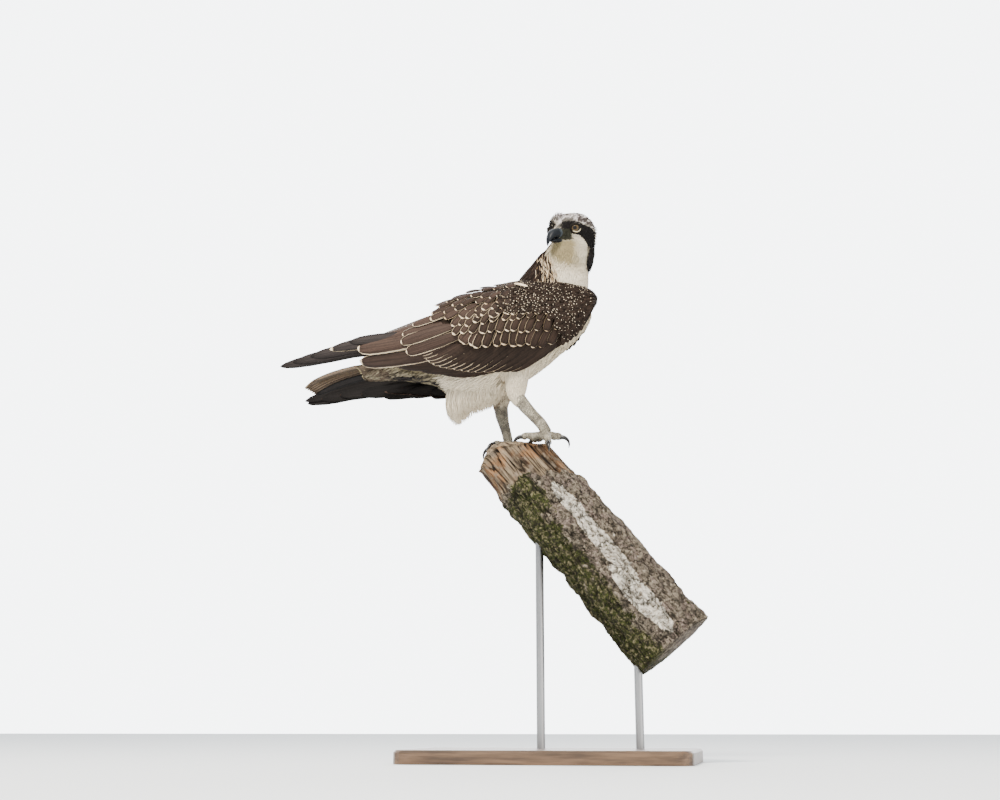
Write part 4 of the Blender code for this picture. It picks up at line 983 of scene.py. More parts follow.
def regionOf(points):
    """The name of the coat region that each place belongs to, as whole numbers."""
    q = toHead(points)
    names = list(coatRegions)
    region = np.full(len(points), names.index("body"))
    x, z = points[:, 0], points[:, 2]
    region[(x < 0.015) & (x > -0.075) & (z < bellyZ(x) + 0.028)] = names.index("vent")
    region[z > 0.212] = names.index("neck")
    region[(z > 0.212) & (whiteFront(points, 0.0)[0] > 0.5)] = names.index("throat")
    for side in ("right", "left"):
        region[thighShare(points, side) > 0.5] = names.index("thigh")
    onHead = headShare(points) > 0.5
    region[onHead] = names.index("cheek")
    region[onHead & (q[:, 2] > browZ(q[:, 0]))] = names.index("crown")
    region[onHead & (q[:, 0] > 0.004) & (q[:, 2] > -0.016)] = names.index("face")
    return region


def furMaterial():
    """Soft plumage: each tuft's own colour, darker at its root, partly its own darker base and partly painted shade
    where the tufts overlap, with fine lengthwise streaks; where a tuft has a wide fringe, the fringe shows down both
    of its sides."""
    material, tree, shader = newMaterial("softFeathers")
    n = Nodes(tree)
    across, along, seed = n.split(n.attribute("vane").outputs["Vector"])
    fringe = n.attribute("fringe")
    side = n.maths("ABSOLUTE", across)
    inner = n.maths("SUBTRACT", 1.0, fringe.outputs["Alpha"])
    share = n.ramp(side, n.maths("SUBTRACT", inner, 0.18), n.maths("ADD", inner, 0.10))
    colour = n.mix(share, n.attribute("tint").outputs["Color"], fringe.outputs["Color"])
    streak = n.noise(n.merge(n.maths("MULTIPLY", across, 2.4), n.maths("MULTIPLY", along, 0.7), n.maths("MULTIPLY", seed, 91.0)), 3.0, 3.0)
    # Darker towards the root: partly the feather's own darker base, partly painted shade under the overlapping tufts.
    shade = n.maths("MULTIPLY", n.ramp(streak, 0.25, 0.75, 0.88, 1.08), n.ramp(along, 0.0, 0.45, 0.80, 1.0))
    n.join(n.mix(1.0, colour, n.merge(shade, shade, shade), "MULTIPLY"), shader.inputs["Base Color"])
    shader.inputs["Roughness"].default_value = 0.9
    shader.inputs["Specular IOR Level"].default_value = 0.12
    n.join(n.bump(streak, 0.35, 0.00012), shader.inputs["Normal"])
    return material


def tuftPiece(name, centres, normals, roots, r, draw, material):
    """One piece of tufts along the given centre lines, coloured by the place of their roots."""
    count = len(roots)
    half = r["half"] * draw.uniform(0.7, 1.3, count)
    points = curvedVanes(centres, normals, half, r["shape"], r["across"], {"thick": 0.00022, "camber": 0.16})
    core, edge, width = bodyMarkings(roots, draw)
    ones = np.ones((count, 1))
    looks = (
        np.concatenate([core, ones], 1),
        np.concatenate([edge, width[:, None]], 1),
        np.concatenate([2.2 * ones, 0 * ones, 0 * ones], 1),
    )
    return vanePiece(name, points, r["shape"], r["across"], material, draw.uniform(0, 1, count),
                     looks, skinMap(roots), 0.003)


def buildCoat(skin):
    places, facing = sampleSkin(skin, 420000, 3)
    q = toHead(places)
    hidden = underWing(places)
    for sign in (1, -1):
        hidden |= np.linalg.norm(q - eyePlace * [1, sign, 1], axis=1) < eyeRadius + 0.0002
    hidden |= (q[:, 0] > 0.0290) & (np.abs(q[:, 1]) < 0.009) & (np.abs(q[:, 2] + 0.006) < 0.010)
    places, facing = places[~hidden], facing[~hidden]
    regions = regionOf(places)
    material = furMaterial()
    for number, (name, r) in enumerate(coatRegions.items()):
        chosen = np.nonzero(regions == number)[0]
        chosen = chosen[thinOut(places[chosen], r["spacing"], number)]
        p, n = places[chosen], facing[chosen]
        draw = np.random.RandomState(20 + number)
        count = len(p)
        shares = np.array([s[0] for s in vaneShapes[r["shape"]]])
        rises = np.array([s[2] for s in vaneShapes[r["shape"]]])
        lie = lieOf(p, n)
        turn = draw.normal(0, 0.12, count)[:, None]
        lie = unitOf(lie * np.cos(turn) + np.cross(n, lie) * np.sin(turn))
        length = r["length"] * draw.uniform(0.75, 1.25, count)
        lift = r["lift"] * draw.uniform(0.5, 1.4, count)
        if name in ("crown", "cheek"):
            back = smoothStep(0.004, -0.030, toHead(p)[:, 0])
            length = length * (1 + 0.9 * back)
            lift = lift * (1 + 3.2 * back * draw.uniform(0.4, 1.6, count))
        if name in ("crown", "cheek", "face"):
            # The far brow's feathers are ruffled up.
            along, aside, up = toHead(p).T
            ruffled = smoothStep(-0.006, -0.012, aside) * smoothStep(0.001, 0.008, up)
            ruffled *= smoothStep(-0.004, 0.008, along) * draw.uniform(0.5, 1.15, count)
            length = length + 0.0055 * ruffled
            lift = lift + 0.0075 * ruffled
        straight = p[:, None] + lie[:, None] * (length[:, None] * shares)[..., None]
        near, normals = dropOnto(skin, straight.reshape(-1, 3))
        near, normals = near.reshape(straight.shape), normals.reshape(straight.shape)
        centres = near + normals * (lift[:, None] * rises - 0.0004)[..., None]
        normals = unitOf(normals + n[:, None] * 0.6)
        loose = {"vent": 0.55, "body": 0.15, "thigh": 0.12}.get(name, 0.0)
        straight = straight + n[:, None] * (lift[:, None] * rises)[..., None]
        centres = mixOf(centres, straight, loose)
        obj = tuftPiece("coat_" + name, centres, normals, p, r, draw, material)
        nodes = {
            "face": ("head",), "crown": ("head",), "cheek": ("head",), "throat": ("neck",), "neck": ("neck",),
            "body": ("torso",), "vent": ("torso",), "thigh": ("thigh_left", "thigh_right"),
        }[name]
        keepPiece(obj, nodes)
        print("coat", name, count)
    buildStreaks(skin, material)
    buildStripeLocks(material)
    buildVent(material)


def buildStreaks(skin, material):
    """Long thin cream streaks laid over the dark side of the neck, thickest by the white."""
    draw = np.random.RandomState(71)
    places, facing = sampleSkin(skin, 60000, 9)
    face, away, turn = whiteFront(places, 0.0)
    right = turn > 0
    near = smoothStep(44, 2, away) ** 1.3 * smoothStep(0.290, 0.276, places[:, 2]) * smoothStep(0.205, 0.225, places[:, 2])
    keep = (away > 0.5) & ~right & (headShare(places) < 0.5) & (draw.uniform(0, 1, len(away)) < near)
    chosen = np.nonzero(keep)[0]
    chosen = chosen[thinOut(places[chosen], 0.0047, 2)]
    p, n = places[chosen], facing[chosen]
    count = len(p)
    shares = np.array([s[0] for s in vaneShapes["hair"]])
    lie = unitOf(lieOf(p, n) + np.array([0.32, -0.05, 0.0]) + draw.normal(0, 0.13, (count, 3)))
    length = draw.uniform(0.0075, 0.0155, count)
    straight = p[:, None] + lie[:, None] * (length[:, None] * shares)[..., None]
    nearest, normals = dropOnto(skin, straight.reshape(-1, 3))
    nearest, normals = nearest.reshape(straight.shape), normals.reshape(straight.shape)
    centres = nearest + normals * 0.0024
    half = draw.uniform(0.00022, 0.00050, count)
    points = curvedVanes(centres, normals, half, "hair", 3, {"thick": 0.00025, "camber": 0.16})
    tone = mixOf(buff, mixOf(cream, white, 0.3), draw.uniform(0.1, 1.0, (count, 1)))
    ones = np.ones((count, 1))
    looks = (np.concatenate([tone, ones], 1), np.concatenate([tone, 0.05 * ones], 1), np.concatenate([2.2 * ones, 0 * ones, 0 * ones], 1))
    obj = vanePiece("coat_streaks", points, "hair", 3, material, draw.uniform(0, 1, count), looks, skinMap(p), 0.003)
    keepPiece(obj, ("neck",))
    print("coat streaks", count)


# The dark stripe's lower end hangs as loose locks beside the neck: start and end of the
# line of roots, then of tips
stripeLine = (((0.1345, 0.004, 0.3180), (0.1440, 0.006, 0.3130)), ((0.1365, -0.004, 0.2715), (0.1385, 0.000, 0.2790)))


def buildStripeLocks(material):
    draw = np.random.RandomState(77)
    count = 800
    t = draw.uniform(0, 1, count)[:, None]
    starts, ends = (np.array(line) for line in stripeLine)
    root = mixOf(starts[:1], starts[1:], t) + draw.normal(0, 1, (count, 3)) * [0.0012, 0.0050, 0.0030]
    tip = mixOf(ends[:1], ends[1:], t) + draw.normal(0, 1, (count, 3)) * [0.0010, 0.0050, 0.0040]
    shares = np.array([s[0] for s in vaneShapes["hair"]])
    long = draw.uniform(0.35, 1.0, (count, 1))
    root = mixOf(tip, root, np.maximum(long, 0.0))
    centres = root[:, None] + (tip - root)[:, None] * shares[None, :, None]
    centres[..., 0] += 0.0030 * (4 * shares * (1 - shares))
    out = unitOf(np.stack([0.85 + 0 * long[:, 0], draw.normal(-0.3, 0.3, count), 0.15 + 0 * long[:, 0]], -1))
    normals = np.repeat(out[:, None], 4, 1)
    points = curvedVanes(centres, normals, draw.uniform(0.0008, 0.0015, count), "hair", 3, {"thick": 0.0003, "camber": 0.16})
    tone = dark * draw.uniform(1.0, 3.0, (count, 1))
    ones = np.ones((count, 1))
    looks = (np.concatenate([tone, ones], 1), np.concatenate([tone, 0.05 * ones], 1), np.concatenate([2.2 * ones, 0 * ones, 0 * ones], 1))
    obj = vanePiece("coat_stripe_locks", points, "hair", 3, material, draw.uniform(0, 1, count), looks, skinMap(root), 0.003)
    keepPiece(obj, ("head",))
    print("coat stripe locks", count)


def buildVent(material):
    """The loose mass that hangs behind the legs: long thin locks from the belly line, each
    curving from back along the body to down, in a fan that is longest in the middle."""
    v = ventLocks
    draw = np.random.RandomState(v["seed"])
    count = v["count"]
    t = draw.uniform(0, 1, count) ** 0.55
    s = draw.uniform(-1, 1, count)
    x = mixOf(0.016, -0.0705, t)
    y = s * mixOf(0.024, 0.020, t)
    z = 0.096 + 0.006 * t - 0.004 * s * s
    root = np.stack([x, y, z], -1)
    tipX = np.maximum(x - 0.0085 - 0.0045 * t + draw.normal(0, 0.0025, count), -0.0835)
    low = ventEdge(tipX) + 0.004 * s * s
    tipZ = mixOf(z, low, draw.uniform(0, 1, count) ** 0.45 * 0.78 + 0.26)
    length = np.hypot(tipX - x, tipZ - z)
    aim = np.arctan2(tipZ - z, tipX - x)
    shares = np.array([k[0] for k in vaneShapes["hair"]])
    bend = np.radians(22.0) * (shares - 0.6)
    angle = aim[:, None] + bend
    step = np.stack([np.cos(angle), np.tile((0.10 * s + draw.normal(0, 0.05, count))[:, None], (1, 4)), np.sin(angle)], -1)
    centres = root[:, None] + step * (length[:, None] * shares)[..., None]
    out = unitOf(np.stack([-np.sin(aim) * 0.2, np.where(s < 0, -1.0, 1.0) * (0.5 + np.abs(s)), np.cos(aim) * 0.5], -1))
    normals = np.repeat(out[:, None], 4, 1)
    r = {"half": v["half"], "shape": "hair", "across": 3}
    obj = tuftPiece("coat_vent_locks", centres, normals, root, r, draw, material)
    keepPiece(obj, ("torso",))
    print("coat vent_locks", count)


# Wings: the envelope of the folded wing and the feather tiers on it

envelopeRows = (
    (0.157, 0.196, 0.023, 0.051),
    (0.150, 0.192, 0.037, 0.065),
    (0.120, 0.182, 0.059, 0.080),
    (0.080, 0.172, 0.078, 0.087),
    (0.030, 0.165, 0.088, 0.089),
    (-0.030, 0.158, 0.087, 0.089),
    (-0.070, 0.153, 0.079, 0.087),
    (-0.110, 0.148, 0.068, 0.084),
    (-0.150, 0.144, 0.056, 0.080),
    (-0.200, 0.140, 0.042, 0.075),
    (-0.250, 0.136, 0.030, 0.070),
    (-0.322, 0.127, 0.016, 0.064),
)
wingEdges = (
    (0.1550, 6, 42), (0.1530, -6, 46), (0.149, -18, 50), (0.144, -27, 54), (0.135, -36, 56),
    (0.121, -41, 58), (0.103, -45, 60), (0.080, -50, 66), (0.050, -53, 76), (0.030, -50, 80),
    (0.000, -40, 83), (-0.040, -28, 84), (-0.080, -14, 82), (-0.115, 0, 80),
)
envelopeZ, envelopeB, envelopeA = curvesOf(envelopeRows)
lowEdge, highEdge = curvesOf(wingEdges)
coverDepth = smoothCurve((
    (-60, 0.0150), (-25, 0.0138), (-18, 0.0125), (-8, 0.0082), (0, 0.0066), (8, 0.0052),
    (20, 0.0032), (60, 0.0026), (84, 0.0040),
))
primaryZ = smoothCurve(((-0.331, 0.129), (-0.246, 0.142), (-0.200, 0.148), (-0.060, 0.152)))
primaryDepth = smoothCurve(((-0.331, 0.004), (-0.200, 0.010), (-0.130, 0.012), (-0.060, 0.021)))


def leftTuck(x):
    return 34 * clampTo(x / 0.1 + 0.2) * clampTo((0.17 - x) / 0.03)


def envelopePoint(x, degrees, lift):
    turn = np.radians(degrees)
    a, b = envelopeA(x), envelopeB(x)
    out = np.stack([0 * x, np.cos(turn) / a, np.sin(turn) / b], -1)
    out = unitOf(out)
    base = np.stack([x + 0 * turn, a * np.cos(turn), envelopeZ(x) + b * np.sin(turn)], -1)
    return base + out * np.asarray(lift)[..., None]


def toSide(points, left):
    """Mirrors the left side's form for the right wing, and sets the far wing lower."""
    points = np.array(points)
    if not left:
        points[..., 1] *= -1
        return points
    pivot = np.array([0.157, 0.0, 0.19])
    turn = np.array(Matrix.Rotation(math.radians(-3.2), 3, "Y"))
    return ((points - pivot) * [0.957, 1, 1]) @ turn.T + pivot - [0.026, 0, 0]


def wingSheet(left):
    def sheet(x, v, lift):
        degrees = np.degrees(v) + (leftTuck(x) if left else 0)
        return toSide(envelopePoint(x, degrees, lift), left)
    return sheet


def primarySheet(left):
    def sheet(x, height, lift):
        y = envelopeA(x) - primaryDepth(x) - height * height / 0.10 + lift
        return toSide(np.stack([x + 0 * height, y, primaryZ(x) + height + 0 * x], -1), left)
    return sheet


def alongLine(knots, t):
    knots = np.asarray(knots, float)
    steps = np.linspace(0, 1, len(knots))
    return np.stack([np.interp(t, steps, knots[:, k]) for k in range(knots.shape[1])], -1)


# Tiers: count, tips and roots as lines of (x, degrees) from the rear forwards, half width,
# lift at the root and tip, roll, shape, core colour, fringe colour, fringe width and how
# much stronger the fringe is at the tip
wingTiers = {
    "innerPrimaries": (4, ((-0.190, -33), (-0.130, -43), (-0.080, -50)),
                       ((-0.010, -30), (0.015, -40), (0.040, -47)),
                       0.0085, -0.0220, -0.0160, 0.10, "long", brown * 1.1, warmBrown * 1.6, 0.14, 4.0),
    "secondaries": (15, ((-0.113, -17), (-0.083, -36), (-0.034, -45), (0.025, -52)),
                    ((-0.035, 2), (-0.005, -8), (0.045, -14), (0.108, -34)),
                    0.0092, -0.0180, -0.0112, 0.15, "long", brown * 1.05, cream * 0.8, 0.22, 8.0),
    "greaterCoverts": (13, ((-0.046, -10), (-0.019, -20), (0.021, -22.5), (0.055, -27.5), (0.086, -36)),
                       ((-0.012, 12), (0.006, 10), (0.038, 10), (0.075, 4), (0.110, -8)),
                       0.0070, -0.0105, -0.0062, -0.16, "blunt", brown * 1.3, cream, 0.25, 4.4),
    "medianCoverts": (13, ((-0.050, -2), (-0.012, -6), (0.027, -9), (0.060, -12.5), (0.096, -21)),
                      ((-0.026, 16), (0.003, 16), (0.040, 12), (0.072, 8), (0.108, 0)),
                      0.0060, -0.0085, -0.0034, -0.14, "blunt", brown * 1.3, cream, 0.25, 3.8),
    "upperCoverts": (13, ((-0.054, 6), (-0.020, 4.5), (0.020, 2), (0.060, 0), (0.104, -9)),
                     ((-0.034, 20), (-0.005, 21), (0.035, 18), (0.073, 15), (0.114, 8)),
                     0.0054, -0.0065, -0.0018, -0.12, "round", brown * 1.2, cream, 0.26, 3.2),
    "secondCoverts": (14, ((-0.040, 12), (-0.006, 11), (0.032, 8.5), (0.070, 5), (0.108, -2)),
                      ((-0.024, 25), (0.006, 25), (0.044, 21), (0.080, 17), (0.118, 11)),
                      0.0046, -0.0046, -0.0008, -0.10, "round", brown * 1.2, cream, 0.26, 3.0),
}

# Scapulars and tertials one by one: root, tip, half width, lift at root and tip, core,
# fringe width
longFeathers = (
    ((-0.070, 82), (-0.172, 84), 0.0130, -0.0120, -0.0200, brown * 1.6, 0.04),
    ((-0.065, 60), (-0.190, 66), 0.0120, -0.0120, -0.0125, brown * 1.8, 0.04),
    ((-0.060, 40), (-0.198, 47), 0.0120, -0.0120, -0.0080, warmBrown * 0.9, 0.11),
    ((-0.052, 30), (-0.188, 27), 0.0110, -0.0130, -0.0062, warmBrown * 0.95, 0.22),
    ((-0.050, 2), (-0.2045, 14), 0.0165, -0.0130, -0.0065, warmBrown * 0.95, 0.26),
    ((-0.040, -15), (-0.2016, -27), 0.0120, -0.0160, -0.0082, warmBrown * 0.62, 0.24),
    ((-0.038, 20), (-0.1330, 16), 0.0090, -0.0100, -0.0044, warmBrown * 0.8, 0.20),
    ((-0.036, 13), (-0.1340, 3), 0.0096, -0.0100, -0.0036, warmBrown * 0.85, 0.21),
    ((-0.032, 0), (-0.1260, -13), 0.0096, -0.0115, -0.0048, warmBrown * 0.62, 0.21),
    ((-0.045, 30), (-0.1180, 27), 0.0092, -0.0080, -0.0022, warmBrown * 0.9, 0.21),
)
scapularRows = (
    (6, ((-0.094, 23), (-0.030, 13), (0.020, 8)), ((-0.056, 32), (-0.008, 26), (0.040, 22)),
     0.0082, -0.0052, -0.0006, 0.25),
    (8, ((-0.086, 33), (-0.030, 20), (0.020, 14)), ((-0.054, 38), (-0.008, 32), (0.040, 28)),
     0.0066, -0.0052, -0.0004, 0.25),
    (7, ((-0.078, 42), (-0.020, 28), (0.022, 20)), ((-0.048, 47), (0.002, 39), (0.042, 34)),
     0.0070, -0.0046, -0.0002, 0.24),
    (7, ((-0.088, 52), (-0.028, 40), (0.020, 31)), ((-0.056, 58), (-0.004, 50), (0.042, 44)),
     0.0078, -0.0042, 0.0002, 0.19),
    (6, ((-0.092, 64), (-0.030, 54), (0.022, 45)), ((-0.060, 68), (-0.006, 62), (0.044, 55)),
     0.0082, -0.0040, 0.0004, 0.12),
    (6, ((-0.094, 76), (-0.034, 68), (0.020, 59)), ((-0.062, 78), (-0.010, 74), (0.042, 68)),
     0.0088, -0.0040, 0.0004, 0.06),
    (5, ((-0.090, 86), (-0.030, 82), (0.024, 74)), ((-0.058, 86), (-0.006, 84), (0.046, 80)),
     0.0088, -0.0040, 0.0002, 0.05),
)
primaryTips = ((-0.218, 0.0120), (-0.250, 0.0080), (-0.281, 0.0040), (-0.309, 0.0015), (-0.330, -0.0005))


# Feathers of the far wing that hang below the tail: root, tip and half width, in a plane
farTips = (
    (-0.150, 0.122, -0.3270, 0.0985, 0.0085), (-0.140, 0.119, -0.3040, 0.1045, 0.0095),
    (-0.120, 0.118, -0.2725, 0.1090, 0.0100), (-0.100, 0.116, -0.2363, 0.1085, 0.0110),
    (-0.085, 0.114, -0.1997, 0.1030, 0.0110), (-0.070, 0.112, -0.1609, 0.1040, 0.0110),
    (-0.055, 0.110, -0.1224, 0.1000, 0.0110), (-0.040, 0.108, -0.0921, 0.0980, 0.0100),
)


def farSheet(x, z, lift):
    return np.stack([x + 0 * z, 0.057 + lift + 0 * x, z + 0 * x], -1)


def looksOf(core, edge, width, tipShare, bars=0.0, barStrength=0.0, sides=0.7, spot=1.0, gloom=0.75):
    """Arrays of core, fringe with its width, marks and rim for vanePiece."""
    count = len(core)
    ones = np.ones((count, 1))
    width = np.asarray(width, float) * np.ones(count)
    sides, spot, gloom = (np.asarray(v, float) * np.ones(count) for v in (sides, spot, gloom))
    marks = np.concatenate([tipShare * ones, bars * ones, barStrength * ones], 1)
    return (
        np.concatenate([np.clip(core, 0, 1), ones], 1),
        np.concatenate([np.clip(edge, 0, 1) * ones, width[:, None]], 1),
        marks,
        np.stack([sides, spot, gloom], -1),
    )


def gridMap(count, low, high):
    """Cells side by side for large vanes: each gets its own strip of the map."""
    columns = max(1, int(math.ceil(math.sqrt(count * 4))))
    rows = int(math.ceil(count / columns))
    i = np.arange(count)
    size = np.array([(high[0] - low[0]) / columns, (high[1] - low[1]) / rows])
    place = np.stack([i % columns + 0.5, i // columns + 0.5], -1) * size + np.array(low)
    return place, size * 0.9


def wingFlight(side, material):
    """Primaries, secondaries and tertials of one wing."""
    left = side == "left"
    draw = np.random.RandomState(31)
    pieces = []
    jobs = []
    for name in ("innerPrimaries", "secondaries"):
        count, tips, roots, half, sunk, lift, roll, shape, core, edge, width, tipShare = wingTiers[name]
        t = np.linspace(0, 1, count)
        tip, root = alongLine(tips, t), alongLine(roots, t)
        tip[:, 0] += draw.uniform(-0.0015, 0.0015, count)
        tone = np.tile(core, (count, 1))
        sides = 0.9
        if name == "secondaries":
            tone = mixOf(tone, warmBrown, (0.75 * smoothStep(0.35, 0.0, t))[:, None])
            sides = 0.95 * (1 - 0.6 * smoothStep(0.55, 0.95, t))
            width = width * (1 - 0.4 * smoothStep(0.5, 1.0, t))
        jobs.append((root, tip, np.full(count, half), np.tile([sunk, lift], (count, 1)),
                     np.full(count, roll), shape, tone, edge, width, tipShare, sides))
    for shape, rows in (("long", longFeathers[:3]), ("blunt", longFeathers[3:])):
        jobs.append((
            np.array([r[0] for r in rows], float), np.array([r[1] for r in rows], float),
            np.array([r[2] for r in rows]), np.array([[r[3], r[4]] for r in rows]), np.zeros(len(rows)),
            shape, np.array([r[5] for r in rows]), cream, np.array([r[6] for r in rows]), 9.5, 1.0,
        ))
    total = sum(len(j[0]) for j in jobs) + len(primaryTips)
    places, size = gridMap(total, (0.0, 0.0), (1.0, 1.0))
    done = 0
    sheet = wingSheet(left)
    for root, tip, half, lifts, roll, shape, core, edge, width, tipShare, sides in jobs:
        n = len(root)
        root = np.stack([root[:, 0], np.radians(root[:, 1])], -1)
        tip = np.stack([tip[:, 0], np.radians(tip[:, 1])], -1)
        points = sheetVanes(sheet, root, tip, half, lifts, roll, shape, 9,
                            {"thick": 0.0008, "camber": 0.06, "ragged": 0.03, "seed": done})
        core = core * draw.uniform(0.85, 1.15, (n, 1))
        # The far wing's feathers are darkened towards black: painted shade.
        if left:
            core = mixOf(core, dark, 0.6)
        pieces.append(vanePiece("flight", points, shape, 9, material, draw.uniform(0, 1, n),
                                looksOf(core, np.tile(edge, (n, 1)), width, tipShare, sides=sides),
                                places[done:done + n], size))
        done += n
    n = len(primaryTips)
    tips = np.array(primaryTips)
    order = np.arange(n)
    root = np.stack([np.full(n, -0.050), 0.002 * (2 - order)], -1)
    layer = -0.0012 * (order - 1)
    points = sheetVanes(primarySheet(left), root, tips, np.full(n, 0.0105),
                        np.stack([layer - 0.004, layer], -1), np.zeros(n), "long", 9,
                        {"thick": 0.0008, "camber": 0.05, "lean": 0.35, "seed": 9})
    # The far wing's primaries are far darker than the near wing's: painted shade.
    core = np.tile(dark * (1.2 if left else 4.0), (n, 1))
    # Only one of the tips is edged with cream; the others end dark.
    edge = mixOf(dark * 2, cream, (order == 1)[:, None] * (0.0 if left else 1.0))
    pieces.append(vanePiece("flight", points, "long", 9, material, draw.uniform(0, 1, n),
                            looksOf(core, edge, 0.18, 6.0, sides=0.4),
                            places[done:done + n], size))
    if left:
        rows = np.array(farTips)
        n = len(rows)
        root, tip = rows[:, :2], rows[:, 2:4]
        lifts = np.stack([np.zeros(n), -0.0012 * np.arange(n)], -1)
        points = sheetVanes(farSheet, root, tip, rows[:, 4], lifts, np.zeros(n), "long", 9,
                            {"thick": 0.0007, "camber": 0.05, "ragged": 0.05, "seed": 12})
        # Near black: painted shade on the far wing's underside.
        core = dark * draw.uniform(0.9, 1.6, (n, 1))
        places, size = gridMap(n, (0.0, 0.0), (1.0, 0.2))
        pieces.append(vanePiece("flight", points, "long", 9, material, draw.uniform(0, 1, n),
                                looksOf(core, np.tile(brown, (n, 1)), 0.08, 6.0, sides=0.2), places, size))
    return joinPieces("flight_feathers_" + side, pieces)


def wingCoverts(side, material):
    """Greater, median and lesser coverts, and the scapulars, of one wing."""
    left = side == "left"
    sheet = wingSheet(left)
    draw = np.random.RandomState(37)
    jobs = []
    for name in ("greaterCoverts", "medianCoverts", "upperCoverts", "secondCoverts"):
        count, tips, roots, half, sunk, lift, roll, shape, core, edge, width, tipShare = wingTiers[name]
        t = np.linspace(0, 1, count)
        tip, root = alongLine(tips, t), alongLine(roots, t)
        tip += draw.uniform(-1, 1, (count, 2)) * [0.0030, 1.3]
        root += draw.uniform(-1, 1, (count, 2)) * [0.0030, 1.0]
        fade = 1 - 0.60 * smoothStep(0.50, 1.0, t)
        tone = mixOf(np.tile(core, (count, 1)), warmBrown, (0.55 * smoothStep(0.30, 0.0, t) + 0.18 * draw.uniform(0, 1, count))[:, None])
        rim = mixOf(np.tile(edge, (count, 1)), buff, (0.55 * draw.uniform(0, 1, count) + 0.3 * smoothStep(0.6, 1, t))[:, None])
        jobs.append((root, tip, half * draw.uniform(0.85, 1.18, count), sunk, lift, roll, shape, 7,
                     tone, rim, width * fade * draw.uniform(0.7, 1.3, count), tipShare,
                     draw.uniform(0.6, 1.1, count) * fade))
    for count, tips, roots, half, sunk, lift, width in scapularRows:
        t = np.linspace(0, 1, count)
        tip, root = alongLine(tips, t), alongLine(roots, t)
        tip += draw.uniform(-1, 1, (count, 2)) * [0.0045, 2.2]
        root += draw.uniform(-1, 1, (count, 2)) * [0.0030, 1.6]
        warm = mixOf(brown, warmBrown, draw.uniform(0.1, 0.7, (count, 1)))
        edge = mixOf(cream, buff, draw.uniform(0, 0.8, (count, 1)))
        jobs.append((root, tip, half * draw.uniform(0.85, 1.2, count), sunk, lift, -0.08, "round", 7,
                     warm, edge, width * draw.uniform(0.6, 1.4, count), 3.8, draw.uniform(0.2, 1.0, count)))
    pieces = []
    total = sum(len(j[0]) for j in jobs)
    places, size = gridMap(total, (0.0, 0.0), (1.0, 0.6))
    done = 0
    for root, tip, half, sunk, lift, roll, shape, across, core, edge, width, tipShare, sides in jobs:
        n = len(root)
        root = np.stack([root[:, 0], np.radians(root[:, 1])], -1)
        tip = np.stack([tip[:, 0], np.radians(tip[:, 1])], -1)
        lifts = np.tile([sunk, lift], (n, 1)) + draw.uniform(-0.0003, 0.0003, (n, 2))
        points = sheetVanes(sheet, root, tip, half, lifts, np.full(n, roll) * draw.uniform(0.6, 1.3, n),
                            shape, across, {"thick": 0.0006, "camber": 0.12, "ragged": 0.06, "seed": done,
                                            "bow": draw.uniform(-0.02, 0.02, n)})
        core = core * draw.uniform(0.75, 1.25, (n, 1))
        pieces.append(vanePiece("covert", points, shape, across, material, draw.uniform(0, 1, n),
                                looksOf(core, edge, width, tipShare, sides=sides, gloom=0.6),
                                places[done:done + n], size))
        done += n
    pieces.append(lesserCoverts(sheet, left, material))
    return joinPieces("coverts_" + side, pieces)


